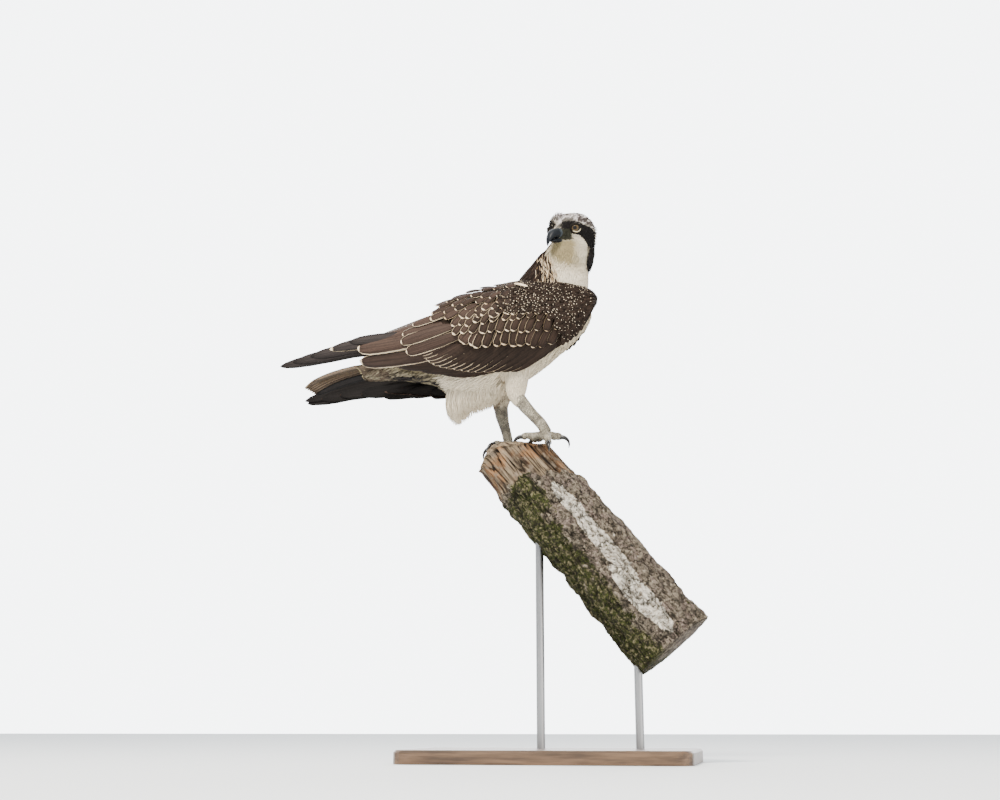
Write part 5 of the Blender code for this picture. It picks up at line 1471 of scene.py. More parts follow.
def lesserCoverts(sheet, left, material):
    """Small dark feathers in offset rows over the shoulder; some end in a small cream dot."""
    draw = np.random.RandomState(41)
    roots, tips = [], []
    step = 0.0042
    rows = np.arange(0.1545, 0.012, -step)
    length = 0.0092
    for number, x in enumerate(rows):
        a, b = envelopeA(x), envelopeB(x)
        tuck = float(leftTuck(x)) if left else 0.0
        low = float(np.interp(x, [0.02, 0.06, 0.095, 0.106, 0.116, 0.15], [16, 12, 7, -14, -48, -48]))
        low = max(float(lowEdge(x)) + 3, low)
        high = float(highEdge(x))
        pitch = math.degrees(step * 0.95 / (0.5 * (a + b)))
        count = max(3, int((high - low) / pitch))
        degrees = np.linspace(low, high, count) + pitch * 0.5 * (number % 2)
        down = np.interp(x, [0.02, 0.10, 0.15], [0.92, 0.75, 0.55])
        down = down * (1 - 0.55 * smoothStep(30, 70, degrees))
        roots.append(np.stack([np.full(count, x), degrees], -1))
        tips.append(np.stack([
            x - length * np.sqrt(1 - down ** 2), degrees - np.degrees(length * down / (0.5 * (a + b))),
        ], -1))
    root, tip = np.concatenate(roots), np.concatenate(tips)
    n = len(root)
    root = root + draw.uniform(-1, 1, (n, 2)) * [0.0012, 0.8]
    tip = tip + draw.uniform(-1, 1, (n, 2)) * [0.0018, 1.3]
    half = 0.0027 * draw.uniform(0.8, 1.25, n)
    angle = np.stack([root[:, 0], np.radians(root[:, 1])], -1), np.stack([tip[:, 0], np.radians(tip[:, 1])], -1)
    lifts = np.stack([np.full(n, -0.0026), np.full(n, 0.0002) + draw.uniform(-0.0003, 0.0005, n)], -1)
    points = sheetVanes(sheet, *angle, half, lifts, np.zeros(n), "round", 5,
                        {"thick": 0.0005, "camber": 0.16, "ragged": 0.08, "seed": 3})
    spread = noiseAt(np.stack([root[:, 0] * 90, root[:, 1] * 0.16, 0 * half], -1), 5)
    core = mixOf(brown * 0.75, brown * 1.7, draw.uniform(0, 1, (n, 1)))
    rowShare = np.interp(root[:, 0], [0.03, 0.10, 0.15], [0.62, 0.55, 0.34])
    dotted = draw.uniform(0, 1, n) < 1.35 * rowShare * (0.35 + 1.1 * spread)
    edge = np.where(dotted[:, None], mixOf(cream, white, 0.5) * draw.uniform(0.45, 1.0, (n, 1)), brown * 2.0)
    width = np.where(dotted, draw.uniform(0.08, 0.17, n), 0.08)
    u = (root[:, 0] - 0.01) / 0.16
    v = (root[:, 1] + 50) / 140
    places = np.stack([0.02 + 0.96 * u, 0.62 + 0.36 * v], -1)
    looks = looksOf(core, edge, width, 1.3, sides=np.where(dotted, 0.10, 0.5),
                    spot=np.where(dotted, draw.uniform(0.16, 0.58, n), 1.0), gloom=0.7)
    piece = vanePiece("covert", points, "round", 5, material, draw.uniform(0, 1, n), looks, places, 0.003)
    if left:
        return piece
    # One stray cream feather lies across the upper back.
    ends = np.radians([[57.3 * 0.055, 42.0]]), np.radians([[57.3 * 0.034, 50.0]])
    points = sheetVanes(sheet, *ends, np.array([0.0036]), np.array([[0.0008, 0.0022]]), np.zeros(1), "round", 5,
                        {"thick": 0.0005, "camber": 0.16, "ragged": 0.08, "seed": 3})
    looks = looksOf(cream[None] * 0.95, cream[None], 0.2, 1.3)
    stray = vanePiece("covert", points, "round", 5, material, np.zeros(1), looks, np.array([[0.01, 0.99]]), 0.01)
    return joinPieces("covert", [piece, stray])


def wingCore(side, material):
    """The wing's own body under its feathers, dark and thin, open towards the rear."""
    left = side == "left"
    xs = np.linspace(0.1548, -0.088, 60)
    shares = np.linspace(0, 1, 28)
    tuck = (leftTuck(xs) if left else 0 * xs)[:, None]
    low = lowEdge(xs) + tuck[:, 0]
    degrees = low[:, None] + (highEdge(xs) - low)[:, None] * shares
    lowShare = clampTo((0.120 - xs) / 0.030)[:, None]
    highShare = clampTo((0.040 - xs) / 0.035)[:, None]
    share = mixOf(lowShare, highShare, clampTo((degrees - tuck - 2) / 18))
    lift = -0.0022 - coverDepth(degrees - tuck) * share
    thick = 0.034 * clampTo(0.15 + (0.1565 - xs) / 0.05) * clampTo(0.25 + (xs + 0.115) / 0.06)
    edge = 0.45 + 0.55 * np.minimum(1.0, np.minimum(4 * shares, 5 * (1 - shares)))
    across = xs[:, None] + 0 * degrees
    outer = envelopePoint(across, degrees, lift)
    inner = envelopePoint(across, degrees, lift - thick[:, None] * edge)
    rings = toSide(np.concatenate([outer, inner[:, ::-1]], 1), left)
    steps, count = rings.shape[:2]
    index = np.arange(steps * count).reshape(steps, count)
    nextOne = np.roll(index, -1, 1)
    quads = np.stack([index[:-1], nextOne[:-1], nextOne[1:], index[1:]], -1).reshape(-1, 4)
    half = count // 2
    j = np.arange(half - 1)
    last = (steps - 1) * count
    caps = np.concatenate([
        np.stack([j, count - 1 - j, count - 2 - j, j + 1], -1),
        last + np.stack([j, j + 1, count - 2 - j, count - 1 - j], -1),
    ])
    quads = np.concatenate([quads, caps])
    if volumeSign(rings, quads) < 0:
        quads = quads[:, ::-1]
    return meshFromArrays("wing_core_" + side, rings, quads, np.zeros((0, 3), int), material)


def buildWings():
    flight = featherMaterial("flightFeathers", 0.60, 60.0, 0.00025)
    covert = featherMaterial("covertFeathers", 0.68, 34.0, 0.00022)
    coreMaterial, tree, shader = newMaterial("wingSkin")
    n = Nodes(tree)
    coords = n.make("ShaderNodeTexCoord").outputs["Object"]
    grain = n.noise(n.scaled(coords, (1.0, 1.0, 0.16)), 620.0, 4.0, 0.6)
    rows = n.noise(n.scaled(coords, (1.0, 1.0, 0.55)), 130.0, 3.0)
    grain = n.maths("MULTIPLY", n.ramp(grain, 0.3, 0.7), n.ramp(rows, 0.3, 0.7, 0.35, 1.0))
    n.join(n.mix(grain, (0.006, 0.004, 0.003, 1), (0.040, 0.026, 0.018, 1)), shader.inputs["Base Color"])
    shader.inputs["Roughness"].default_value = 0.9
    shader.inputs["Specular IOR Level"].default_value = 0.08
    n.join(n.bump(grain, 0.8, 0.0008), shader.inputs["Normal"])
    for side in ("right", "left"):
        nodes = ("wing_" + side,)
        keepPiece(wingFlight(side, flight), nodes)
        keepPiece(wingCoverts(side, covert), nodes)
        keepPiece(wingCore(side, coreMaterial), nodes)
    print("wings built")


# Tail

tailZ = smoothCurve((
    (-0.316, 0.1060), (-0.285, 0.1195), (-0.254, 0.1300), (-0.222, 0.1365), (-0.190, 0.1400),
    (-0.160, 0.1415),
))


def tailSheet(x, y, lift):
    roll = 0.25 * clampTo((-0.160 - x) / 0.050)
    return np.stack([x + 0 * y, y + 0 * x, tailZ(x) - roll * y - y * y / 0.16 + lift], -1)


def buildTail():
    """Twelve barred feathers, the middle pair on top, with coverts over and under the root."""
    material = featherMaterial("tailFeathers", 0.66, 60.0, 0.00025)
    draw = np.random.RandomState(51)
    order = np.arange(-5.5, 6, 1.0)
    n = len(order)
    root = np.stack([np.full(n, -0.172), order * 0.0025], -1)
    tip = np.stack([-0.3120 + 0.0024 * np.maximum(0, order) + 0.0034 * np.maximum(0, -order), order * 0.0034], -1)
    lift = -0.0011 * np.abs(order)
    points = sheetVanes(tailSheet, root, tip, np.full(n, 0.0082), np.stack([lift, lift], -1),
                        np.zeros(n), "long", 9, {"thick": 0.0007, "camber": 0.05, "seed": 4})
    # The outermost feathers on the far side turn near black, in core and fringe: painted shade on the far half of the
    # tail.
    core = mixOf(mixOf(warmBrown, tan, 0.80)[None], dark * 2.0, smoothStep(3.9, 5.4, order)[:, None])
    core = core * draw.uniform(0.7, 1.25, (n, 1))
    rim = mixOf(buff[None] * 0.8, dark * 3.0, smoothStep(3.9, 5.0, order)[:, None])
    places, size = gridMap(n, (0, 0), (1, 0.5))
    pieces = [vanePiece("tail", points, "long", 9, material, draw.uniform(0, 1, n),
                        looksOf(core, rim, 0.10, 6.0, 74.0, 0.05, sides=draw.uniform(0, 0.6, n), gloom=0.30), places, size)]
    for above, lengths in ((True, 0.040), (False, 0.052)):
        rows = []
        for x in (-0.150, -0.163, -0.176):
            ys = np.linspace(-0.020, 0.020, 6)
            rows.append(np.stack([np.full(6, x), ys], -1))
        root = np.concatenate(rows)
        n = len(root)
        root = root + draw.uniform(-1, 1, (n, 2)) * [0.003, 0.0015]
        tip = root * [1, 0.8] - [lengths, 0]
        tip[:, 0] = np.maximum(tip[:, 0], -0.222)
        start = np.interp(root[:, 0], [-0.176, -0.150], [0.009, 0.017])
        end = np.full(n, 0.0030)
        if not above:
            start, end = -start * 0.75, np.full(n, -0.0075)
        lifts = np.stack([start, end + draw.uniform(-0.0006, 0.0006, n)], -1)
        points = sheetVanes(tailSheet, root, tip, np.full(n, 0.0070), lifts, np.zeros(n), "round", 5,
                            {"thick": 0.0006, "camber": 0.12 if above else -0.12, "seed": 6})
        # The coverts under the tail take a dark olive-brown: painted shade.
        tone = brown * 1.5 if above else tan * 0.55
        rim = warmBrown if above else olive * 1.1
        core = tone * draw.uniform(0.85, 1.15, (n, 1))
        places, size = gridMap(n, (0, 0.52 if above else 0.77), (1, 0.75 if above else 0.99))
        pieces.append(vanePiece("tail", points, "round", 5, material, draw.uniform(0, 1, n),
                                looksOf(core, np.tile(rim, (n, 1)), 0.2, 3.0), places, size))
    keepPiece(joinPieces("tail_feathers", pieces), ("tail",))
    print("tail built")


# Bill and eyes

billUpperRows = (
    (0.0250, 0.0060, -0.0095, 0.0102),
    (0.0320, 0.0052, -0.0092, 0.0096),
    (0.0390, 0.0040, -0.0098, 0.0086),
    (0.0450, 0.0010, -0.0115, 0.0072),
    (0.0500, -0.0040, -0.0140, 0.0056),
    (0.0535, -0.0100, -0.0180, 0.0040),
    (0.0550, -0.0155, -0.0215, 0.0024),
)
billLowerRows = (
    (0.0240, -0.0100, -0.0168, 0.0086),
    (0.0320, -0.0098, -0.0168, 0.0080),
    (0.0400, -0.0106, -0.0164, 0.0066),
    (0.0450, -0.0122, -0.0162, 0.0048),
)


def billMaterial():
    """Blue-black horn, paler and rougher on the cere at its base."""
    material, tree, shader = newMaterial("bill")
    n = Nodes(tree)
    place = n.split(n.attribute("own").outputs["Vector"])
    coords = n.make("ShaderNodeTexCoord").outputs["Object"]
    grain = n.noise(coords, 500.0, 4.0)
    cere = n.ramp(n.maths("MULTIPLY_ADD", grain, 0.12, place[0]), 0.30, 0.42, 1.0, 0.0)
    horn = n.mix(n.noise(coords, 160.0), (0.0035, 0.0040, 0.0052, 1), (0.015, 0.018, 0.023, 1))
    soft = n.mix(grain, (0.020, 0.025, 0.030, 1), (0.060, 0.072, 0.082, 1))
    n.join(n.mix(cere, horn, soft), shader.inputs["Base Color"])
    n.join(n.maths("MULTIPLY_ADD", cere, 0.20, 0.42), shader.inputs["Roughness"])
    shader.inputs["Specular IOR Level"].default_value = 0.16
    n.join(n.bump(grain, 0.35, 0.0004), shader.inputs["Normal"])
    return material


def buildBill():
    material = billMaterial()
    for name, rows, pole in (
        ("bill_upper", billUpperRows, (0.0556, 0, -0.0240)),
        ("bill_lower", billLowerRows, (0.0475, 0, -0.0146)),
    ):
        ridge, edge, side = curvesOf(rows)
        xs = np.linspace(rows[0][0], rows[-1][0], 48)
        turns = np.linspace(0, 2 * math.pi, 40, endpoint=False)
        across, high = superRing(turns, 2.2, 2.6)
        middle, half = 0.5 * (ridge(xs) + edge(xs)), 0.5 * (ridge(xs) - edge(xs))
        rings = np.empty((len(xs), 40, 3))
        rings[..., 0] = xs[:, None]
        rings[..., 1] = side(xs)[:, None] * across
        rings[..., 2] = middle[:, None] + half[:, None] * high
        if name == "bill_upper":
            # A nostril pit each side, and a low step where the cere meets the horn.
            for sign in (1, -1):
                pit = np.array([0.0335, sign * 0.0096, 0.0008])
                away = (rings - pit) / [0.0024, 0.004, 0.0010]
                rings -= np.exp(-(away ** 2).sum(-1))[..., None] * [0, sign * 0.0016, 0]
            swell = 1 + 0.045 * smoothStep(0.0375, 0.0355, rings[..., 0])
            rings[..., 1] *= swell
            rings[..., 2] = 0.001 + (rings[..., 2] - 0.001) * swell
        points, quads, tris = tubeGrid(rings, rings[0].mean(0), np.array(pole))
        share = (points[:, 0] - rows[0][0]) / (rows[-1][0] - rows[0][0])
        obj = meshFromArrays(name + "_horn", fromHead(points), quads, tris, material)
        addVector(obj, "own", np.stack([share, 0 * share, 0 * share], -1))
        keepPiece(obj, (name,))
    print("bill built")


def eyeMaterial():
    """Amber iris with dark spokes and rim round a black pupil, under a clear wet coat."""
    material, tree, shader = newMaterial("eye")
    n = Nodes(tree)
    tilt, spoke, _ = n.split(n.attribute("own").outputs["Vector"])
    rays = n.noise(n.merge(n.maths("MULTIPLY", spoke, 22.0), n.maths("MULTIPLY", tilt, 0.06), 0.0), 1.0, 3.0)
    iris = n.mix(n.ramp(rays, 0.35, 0.7), (0.035, 0.022, 0.010, 1), (0.155, 0.105, 0.042, 1))
    iris = n.mix(n.ramp(tilt, 20.0, 28.0, 0.45, 0.0), iris, (0.030, 0.014, 0.005, 1))
    rim = n.ramp(tilt, 36.0, 41.0)
    iris = n.mix(rim, iris, (0.010, 0.008, 0.007, 1))
    colour = n.mix(n.ramp(tilt, 17.0, 18.5), (0.003, 0.003, 0.003, 1), iris)
    n.join(colour, shader.inputs["Base Color"])
    shader.inputs["Roughness"].default_value = 0.45
    shader.inputs["Specular IOR Level"].default_value = 0.12
    shader.inputs["Coat Weight"].default_value = 0.12
    shader.inputs["Coat Roughness"].default_value = 0.03
    return material


def lidMaterial():
    """Bare lid skin: black above, pale on its lower rear rim."""
    material, tree, shader = newMaterial("lid")
    n = Nodes(tree)
    out, low, _ = n.split(n.attribute("own").outputs["Vector"])
    grain = n.noise(n.make("ShaderNodeTexCoord").outputs["Object"], 700.0, 3.0)
    pale = n.maths("MULTIPLY", n.ramp(low, 0.30, 0.62), n.ramp(out, 0.20, 0.10, 0.0, 1.0))
    base = n.mix(grain, (0.004, 0.0035, 0.003, 1), (0.014, 0.011, 0.008, 1))
    n.join(n.mix(pale, base, (0.50, 0.43, 0.29, 1)), shader.inputs["Base Color"])
    shader.inputs["Roughness"].default_value = 0.8
    shader.inputs["Specular IOR Level"].default_value = 0.08
    n.join(n.bump(grain, 0.4, 0.0003), shader.inputs["Normal"])
    return material


def eyeFrame(sign, ahead):
    """Where the eye or its opening faces, as degrees out from straight ahead."""
    facing = np.array([math.cos(math.radians(ahead)), sign * math.sin(math.radians(ahead)), 0.02])
    facing = unitOf(facing)
    up = unitOf(np.array([0, 0, 1.0]) - facing * facing[2])
    return facing, up, np.cross(facing, up)


def buildEyes():
    irisLook, lidLook = eyeMaterial(), lidMaterial()
    for side, sign in (("left", 1), ("right", -1)):
        centre = eyePlace * [1, sign, 1]
        facing, up, across = eyeFrame(sign, 34.0)
        tilts = np.radians(np.linspace(3, 177, 60))
        turns = np.linspace(0, 2 * math.pi, 64, endpoint=False)
        spokes = up * np.sin(turns)[:, None] + across * np.cos(turns)[:, None]
        bulge = eyeRadius + 0.0005 * np.exp(-(np.degrees(tilts) / 32) ** 2)
        rings = centre + bulge[:, None, None] * (
            facing * np.cos(tilts)[:, None, None] + spokes[None] * np.sin(tilts)[:, None, None]
        )
        poles = centre + facing * bulge[0], centre - facing * eyeRadius
        points, quads, tris = tubeGrid(rings, *poles)
        own = np.zeros((len(points), 3))
        own[:-2, 0] = np.repeat(np.degrees(tilts), 64)
        own[:-2, 1] = np.tile(np.abs(turns / math.pi - 1), 60)
        own[-1, 0] = 180
        eye = meshFromArrays("eye_ball_" + side, fromHead(points), quads, tris, irisLook)
        addVector(eye, "own", own)
        keepPiece(eye, ("eye_" + side,))
        # Lids: a shell over the ball, open in an almond further out, with a rolled rim.
        facing, up, across = eyeFrame(sign, 51.0 if side == "left" else 78.0)
        spokes = up * np.sin(turns)[:, None] + across * np.cos(turns)[:, None]
        height = np.where(np.sin(turns) > 0, 25.0, 35.0)
        wide = 47.0
        opening = 1 / np.sqrt((np.cos(turns) / wide) ** 2 + (np.sin(turns) / height) ** 2)
        steps = np.array([0.0, 0.02, 0.05, 0.09, 0.15, 0.25, 0.38, 0.55, 0.75, 1.0])
        rise = np.array([-0.0006, 0.0001, 0.0007, 0.0010, 0.0010, 0.0009, 0.0009, 0.0006, 0.0, -0.0012])
        tilt = np.radians(opening[None] + (98 - opening[None]) * steps[:, None])
        brow = 0.0007 * clampTo(np.sin(turns)) * np.exp(-((steps - 0.12) / 0.12) ** 2)[:, None]
        radius = eyeRadius + rise[:, None] + brow
        shell = centre + radius[..., None] * (
            facing * np.cos(tilt)[..., None] + spokes[None] * np.sin(tilt)[..., None]
        )
        inner = centre + (radius[..., None] - 0.0016) * (
            facing * np.cos(tilt)[..., None] + spokes[None] * np.sin(tilt)[..., None]
        )
        rings = np.concatenate([inner[::-1], shell])
        loops = len(rings)
        index = np.arange(loops * 64).reshape(loops, 64)
        follow = np.roll(index, -1, 0)
        quads = np.stack([index, np.roll(index, -1, 1), np.roll(follow, -1, 1), follow], -1).reshape(-1, 4)
        if volumeSign(rings, quads) < 0:
            quads = quads[:, ::-1]
        own = np.zeros((loops, 64, 3))
        own[..., 0] = np.concatenate([steps[::-1], steps])[:, None]
        own[..., 1] = clampTo(-np.sin(turns + sign * 0.25))[None]
        lid = meshFromArrays("lids_" + side, fromHead(rings.reshape(-1, 3)), quads, np.zeros((0, 3), int), lidLook)
        addVector(lid, "own", own.reshape(-1, 3))
        keepPiece(lid, ("head",))
    print("eyes built")


# Feet and claws

legRows = {
    "right": {
        "side": -1,
        "shank": (((0.0335, -0.029, 0.0665), 0.0102), ((0.0435, -0.0285, 0.0530), 0.0096),
                  ((0.0550, -0.028, 0.0395), 0.0086), ((0.0670, -0.027, 0.0260), 0.0084),
                  ((0.0745, -0.026, 0.0130), 0.0082)),
        "toes": ((0.020, 8, 0.003), (0.029, 76, 0.016), (0.034, 172, 0.000), (0.029, -140, 0.000)),
    },
    "left": {
        "side": 1,
        "shank": (((-0.0060, 0.031, 0.0730), 0.0112), ((-0.0040, 0.031, 0.0560), 0.0102),
                  ((-0.0005, 0.031, 0.0410), 0.0084), ((0.0035, 0.031, 0.0260), 0.0076),
                  ((0.0065, 0.031, 0.0110), 0.0074)),
        "toes": ((0.036, 6, 0.000), (0.030, 60, 0.003), (0.028, 168, 0.000), (0.026, -130, 0.000)),
    },
}


def legMaterial(name, dim):
    """Pale grey scaled skin: round cells, larger down the front, darker in the creases; dim darkens every colour, so
    that a dimmed copy gives painted shade.
    """
    material, tree, shader = newMaterial(name)
    n = Nodes(tree)
    coords = n.make("ShaderNodeTexCoord").outputs["Object"]
    cells = n.make("ShaderNodeTexVoronoi", feature="DISTANCE_TO_EDGE")
    n.join(coords, cells.inputs["Vector"])
    cells.inputs["Scale"].default_value = 480.0
    edge = n.ramp(cells.outputs["Distance"], 0.02, 0.22)
    stain = n.noise(coords, 90.0, 4.0)
    tone = n.mix(n.ramp(stain, 0.35, 0.65), (0.17 * dim, 0.145 * dim, 0.105 * dim, 1), (0.46 * dim, 0.41 * dim, 0.31 * dim, 1))
    n.join(n.mix(edge, n.mix(0.75, tone, (0.03, 0.024, 0.017, 1)), tone), shader.inputs["Base Color"])
    shader.inputs["Roughness"].default_value = 0.6
    n.join(n.bump(edge, 0.8, 0.0005), shader.inputs["Normal"])
    return material


def clawMaterial():
    material, tree, shader = newMaterial("claw")
    n = Nodes(tree)
    coords = n.make("ShaderNodeTexCoord").outputs["Object"]
    streak = n.noise(n.scaled(coords, (1.0, 1.0, 0.35)), 900.0, 3.0)
    n.join(n.mix(streak, (0.003, 0.003, 0.0035, 1), (0.016, 0.014, 0.013, 1)), shader.inputs["Base Color"])
    shader.inputs["Roughness"].default_value = 0.28
    n.join(n.bump(streak, 0.2, 0.0002), shader.inputs["Normal"])
    return material


def toeJoints(heel, side, length, bearing, droop):
    turn = math.radians(bearing) * side
    ahead = np.array([math.cos(turn), math.sin(turn), 0.0])
    joints = []
    for t, rise, width in ((0.0, 0.0, 1.15), (0.35, 0.0022, 0.95), (0.6, 0.0008, 1.08),
                           (0.85, 0.0022, 0.86), (1.0, 0.0, 0.95)):
        place = heel + ahead * length * t
        place[2] = 0.0070 + rise - droop * t * t
        joints.append((tuple(place), 0.0058 * width))
    return joints, ahead


def clawPoints(start, ahead):
    """A curved cone: its way turns steadily downwards and its radius falls to a point."""
    steps = 26
    share = np.linspace(0, 1, steps)
    bend = math.radians(118.0)
    turns = bend * (share + 0.1) - 0.25
    moves = (ahead[None] * np.cos(turns)[:, None] - np.array([0, 0, 1.0]) * np.sin(turns)[:, None])
    centre = start + np.concatenate([[np.zeros(3)], np.cumsum(moves[:-1], 0)]) * 0.0250 / (steps - 1)
    radius = 0.0034 * (1 - share) ** 0.75 + 0.0002
    along = unitOf(moves)
    across = unitOf(np.cross(along, np.array([0.03, 1.0, 0.02]) if abs(ahead[1]) < 0.8 else np.array([1.0, 0.02, 0.03])))
    over = unitOf(np.cross(along, across))
    turn = np.linspace(0, 2 * math.pi, 24, endpoint=False)
    rings = centre[:, None] + radius[:, None, None] * (
        across[:, None] * np.cos(turn)[None, :, None] + over[:, None] * np.sin(turn)[None, :, None]
    )
    return tubeGrid(rings, centre[0] - along[0] * 0.001, centre[-1] + along[-1] * 0.0004)


def buildFeet():
    # The far leg's skin is a copy darkened to 0.6: painted shade under the body.
    looks, hornLook = {"right": legMaterial("legSkin", 1.0), "left": legMaterial("legSkinShaded", 0.6)}, clawMaterial()
    for side, spec in legRows.items():
        heel = np.array(spec["shank"][-1][0])
        forms = [limbForm(spec["shank"], 0.0002)]
        for number, (length, bearing, droop) in enumerate(spec["toes"], 1):
            joints, ahead = toeJoints(heel, spec["side"], length, bearing, droop)
            forms.append(limbForm(joints, 0.0002))
            start = np.array(joints[-1][0]) + [0, 0, 0.0004] + ahead * 0.001
            points, quads, tris = clawPoints(start, ahead)
            claw = meshFromArrays(f"talon_{side}_{number}", points, quads, tris, hornLook)
            keepPiece(claw, (f"claw_{side}_{number}",))
        foot = blendForms("leg_" + side, forms, 0.0007, 4, looks[side])
        keepPiece(foot, ("foot_" + side,))
    print("feet built")


# Branch

branchSlope = math.radians(50.5)
branchAlong = np.array([math.cos(branchSlope), 0, -math.sin(branchSlope)])
branchUpper = np.array([math.sin(branchSlope), 0, math.cos(branchSlope)])
branchStart = np.array([0.010, 0.0, 0.010])
branchRadius, branchLength = 0.0525, 0.385


def brokenEnd(turn, reach):
    """Height of the broken face: it drops away towards the lower side and at the near rim."""
    left = np.maximum(0.0, -np.cos(turn) * reach - 0.15)
    jag = 0.0016 * np.sin(5 * turn + 1) + 0.0010 * np.sin(11 * turn)
    rim = 0.0120 * smoothStep(0.62, 1.0, reach) * clampTo(-np.sin(turn) * 1.3) * clampTo(1.2 - np.cos(turn))
    return 0.0005 - 0.044 * left ** 1.3 + jag * reach - 0.002 * (1 - reach) - rim


# Bare torn wood reaches this far down from the rim; patches of moss and peeled white bark
# are ellipses of (way along, side, size along, size across) on the branch.
perchLook = {"bare": 0.050, "moss": ((0.085, -0.25, 0.045, 0.36),), "peeled": ((0.110, 0.40, 0.040, 0.22), (0.190, 0.38, 0.080, 0.26), (0.285, 0.20, 0.070, 0.30))}


def barkMaterial():
    """Weathered wood: torn orange wood with dark cracks at the broken end, then mottled grey
    bark, peeled to white in the middle, mossy below; all from the piece's own marks."""
    material, tree, shader = newMaterial("bark")
    n = Nodes(tree)
    bare, mossy, peeled = n.split(n.attribute("own").outputs["Vector"])
    crack, grainPlace, edge = n.split(n.attribute("relief").outputs["Vector"])
    coords = n.make("ShaderNodeTexCoord").outputs["Object"]
    turned = n.make("ShaderNodeVectorRotate", rotation_type="Y_AXIS")
    n.join(coords, turned.inputs["Vector"])
    turned.inputs["Angle"].default_value = -branchSlope
    fibres = n.noise(n.scaled(turned.outputs["Vector"], (14.0, 170.0, 170.0)), 1.0, 5.0, 0.65)
    broadFibres = n.noise(n.scaled(turned.outputs["Vector"], (9.0, 55.0, 55.0)), 1.0, 3.0, 0.6)
    coarse = n.noise(coords, 60.0, 5.0, 0.65)
    middle = n.noise(coords, 170.0, 5.0, 0.7)
    fine = n.noise(coords, 520.0, 4.0, 0.7)
    wood = n.mix(n.ramp(fibres, 0.34, 0.64), (0.024, 0.012, 0.008, 1), (0.34, 0.19, 0.095, 1))
    plain = n.mix(n.ramp(fibres, 0.36, 0.64), (0.030, 0.021, 0.015, 1), (0.31, 0.235, 0.155, 1))
    wood = n.mix(n.ramp(n.noise(coords, 26.0, 2.0), 0.44, 0.58), wood, plain)
    wood = n.mix(n.ramp(broadFibres, 0.36, 0.50, 0.85, 0.0), wood, (0.018, 0.011, 0.008, 1))
    wood = n.mix(n.ramp(coarse, 0.50, 0.66), wood, n.mix(fibres, (0.06, 0.045, 0.035, 1), (0.36, 0.28, 0.20, 1)))
    grey = n.mix(n.ramp(middle, 0.36, 0.62), (0.030, 0.024, 0.018, 1), (0.27, 0.225, 0.170, 1))
    grey = n.mix(n.ramp(coarse, 0.48, 0.58), grey, n.mix(n.ramp(fine, 0.36, 0.62), (0.055, 0.040, 0.032, 1), (0.30, 0.235, 0.195, 1)))
    pale = n.mix(n.ramp(middle, 0.34, 0.60), (0.26, 0.22, 0.17, 1), (0.72, 0.67, 0.58, 1))
    bark = n.mix(n.ramp(n.maths("ADD", peeled, n.maths("MULTIPLY_ADD", middle, 1.1, -0.55)), 0.38, 0.52), grey, pale)
    moss = n.mix(n.ramp(fine, 0.38, 0.66), (0.008, 0.009, 0.004, 1), (0.070, 0.080, 0.022, 1))
    moss = n.mix(n.ramp(middle, 0.50, 0.60), moss, n.mix(fine, (0.05, 0.045, 0.025, 1), (0.30, 0.26, 0.15, 1)))
    bark = n.mix(n.ramp(n.maths("ADD", mossy, n.maths("MULTIPLY_ADD", coarse, 3.0, -1.5)), 0.36, 0.60), bark, moss)
    warped = n.make("ShaderNodeVectorMath", operation="MULTIPLY_ADD")
    n.join(n.merge(middle, coarse, fine), warped.inputs[0])
    warped.inputs[1].default_value = (0.022, 0.022, 0.022)
    n.join(turned.outputs["Vector"], warped.inputs[2])
    for scale, strength in ((42.0, 0.9), (95.0, 0.6)):
        cells = n.make("ShaderNodeTexVoronoi", feature="DISTANCE_TO_EDGE")
        n.join(n.scaled(warped.outputs["Vector"], (0.6, 1.0, 1.0)), cells.inputs["Vector"])
        cells.inputs["Scale"].default_value = scale
        bark = n.mix(n.ramp(cells.outputs["Distance"], 0.01, 0.07, strength, 0.0), bark, (0.012, 0.010, 0.007, 1))
    spots = n.noise(coords, 260.0, 3.0, 0.6)
    bark = n.mix(n.ramp(spots, 0.56, 0.64, 0.0, 0.8), bark, (0.022, 0.019, 0.014, 1))
    colour = n.mix(n.ramp(n.maths("ADD", bare, n.maths("MULTIPLY_ADD", middle, 0.6, -0.3)), 0.40, 0.60), bark, wood)
    colour = n.mix(n.ramp(crack, 0.55, 0.10, 0.0, 0.92), colour, (0.010, 0.007, 0.005, 1))
    n.join(colour, shader.inputs["Base Color"])
    shader.inputs["Roughness"].default_value = 0.92
    shader.inputs["Specular IOR Level"].default_value = 0.12
    height = n.maths("ADD", n.maths("MULTIPLY", fine, 0.35), n.maths("ADD", n.maths("MULTIPLY", middle, 0.8), n.maths("MULTIPLY", fibres, 0.5)))
    n.join(n.bump(height, 0.9, 0.0035), shader.inputs["Normal"])
    return material


def ellipseShare(spots, distance, upper):
    """1 in the middle of each ellipse on the branch and 0 beyond its edge."""
    share = 0.0
    for along, side, long, wide in spots:
        reach = np.hypot((distance - along) / long, (upper - side) / wide)
        share = np.maximum(share, 1 - smoothStep(0.55, 1.15, reach))
    return share


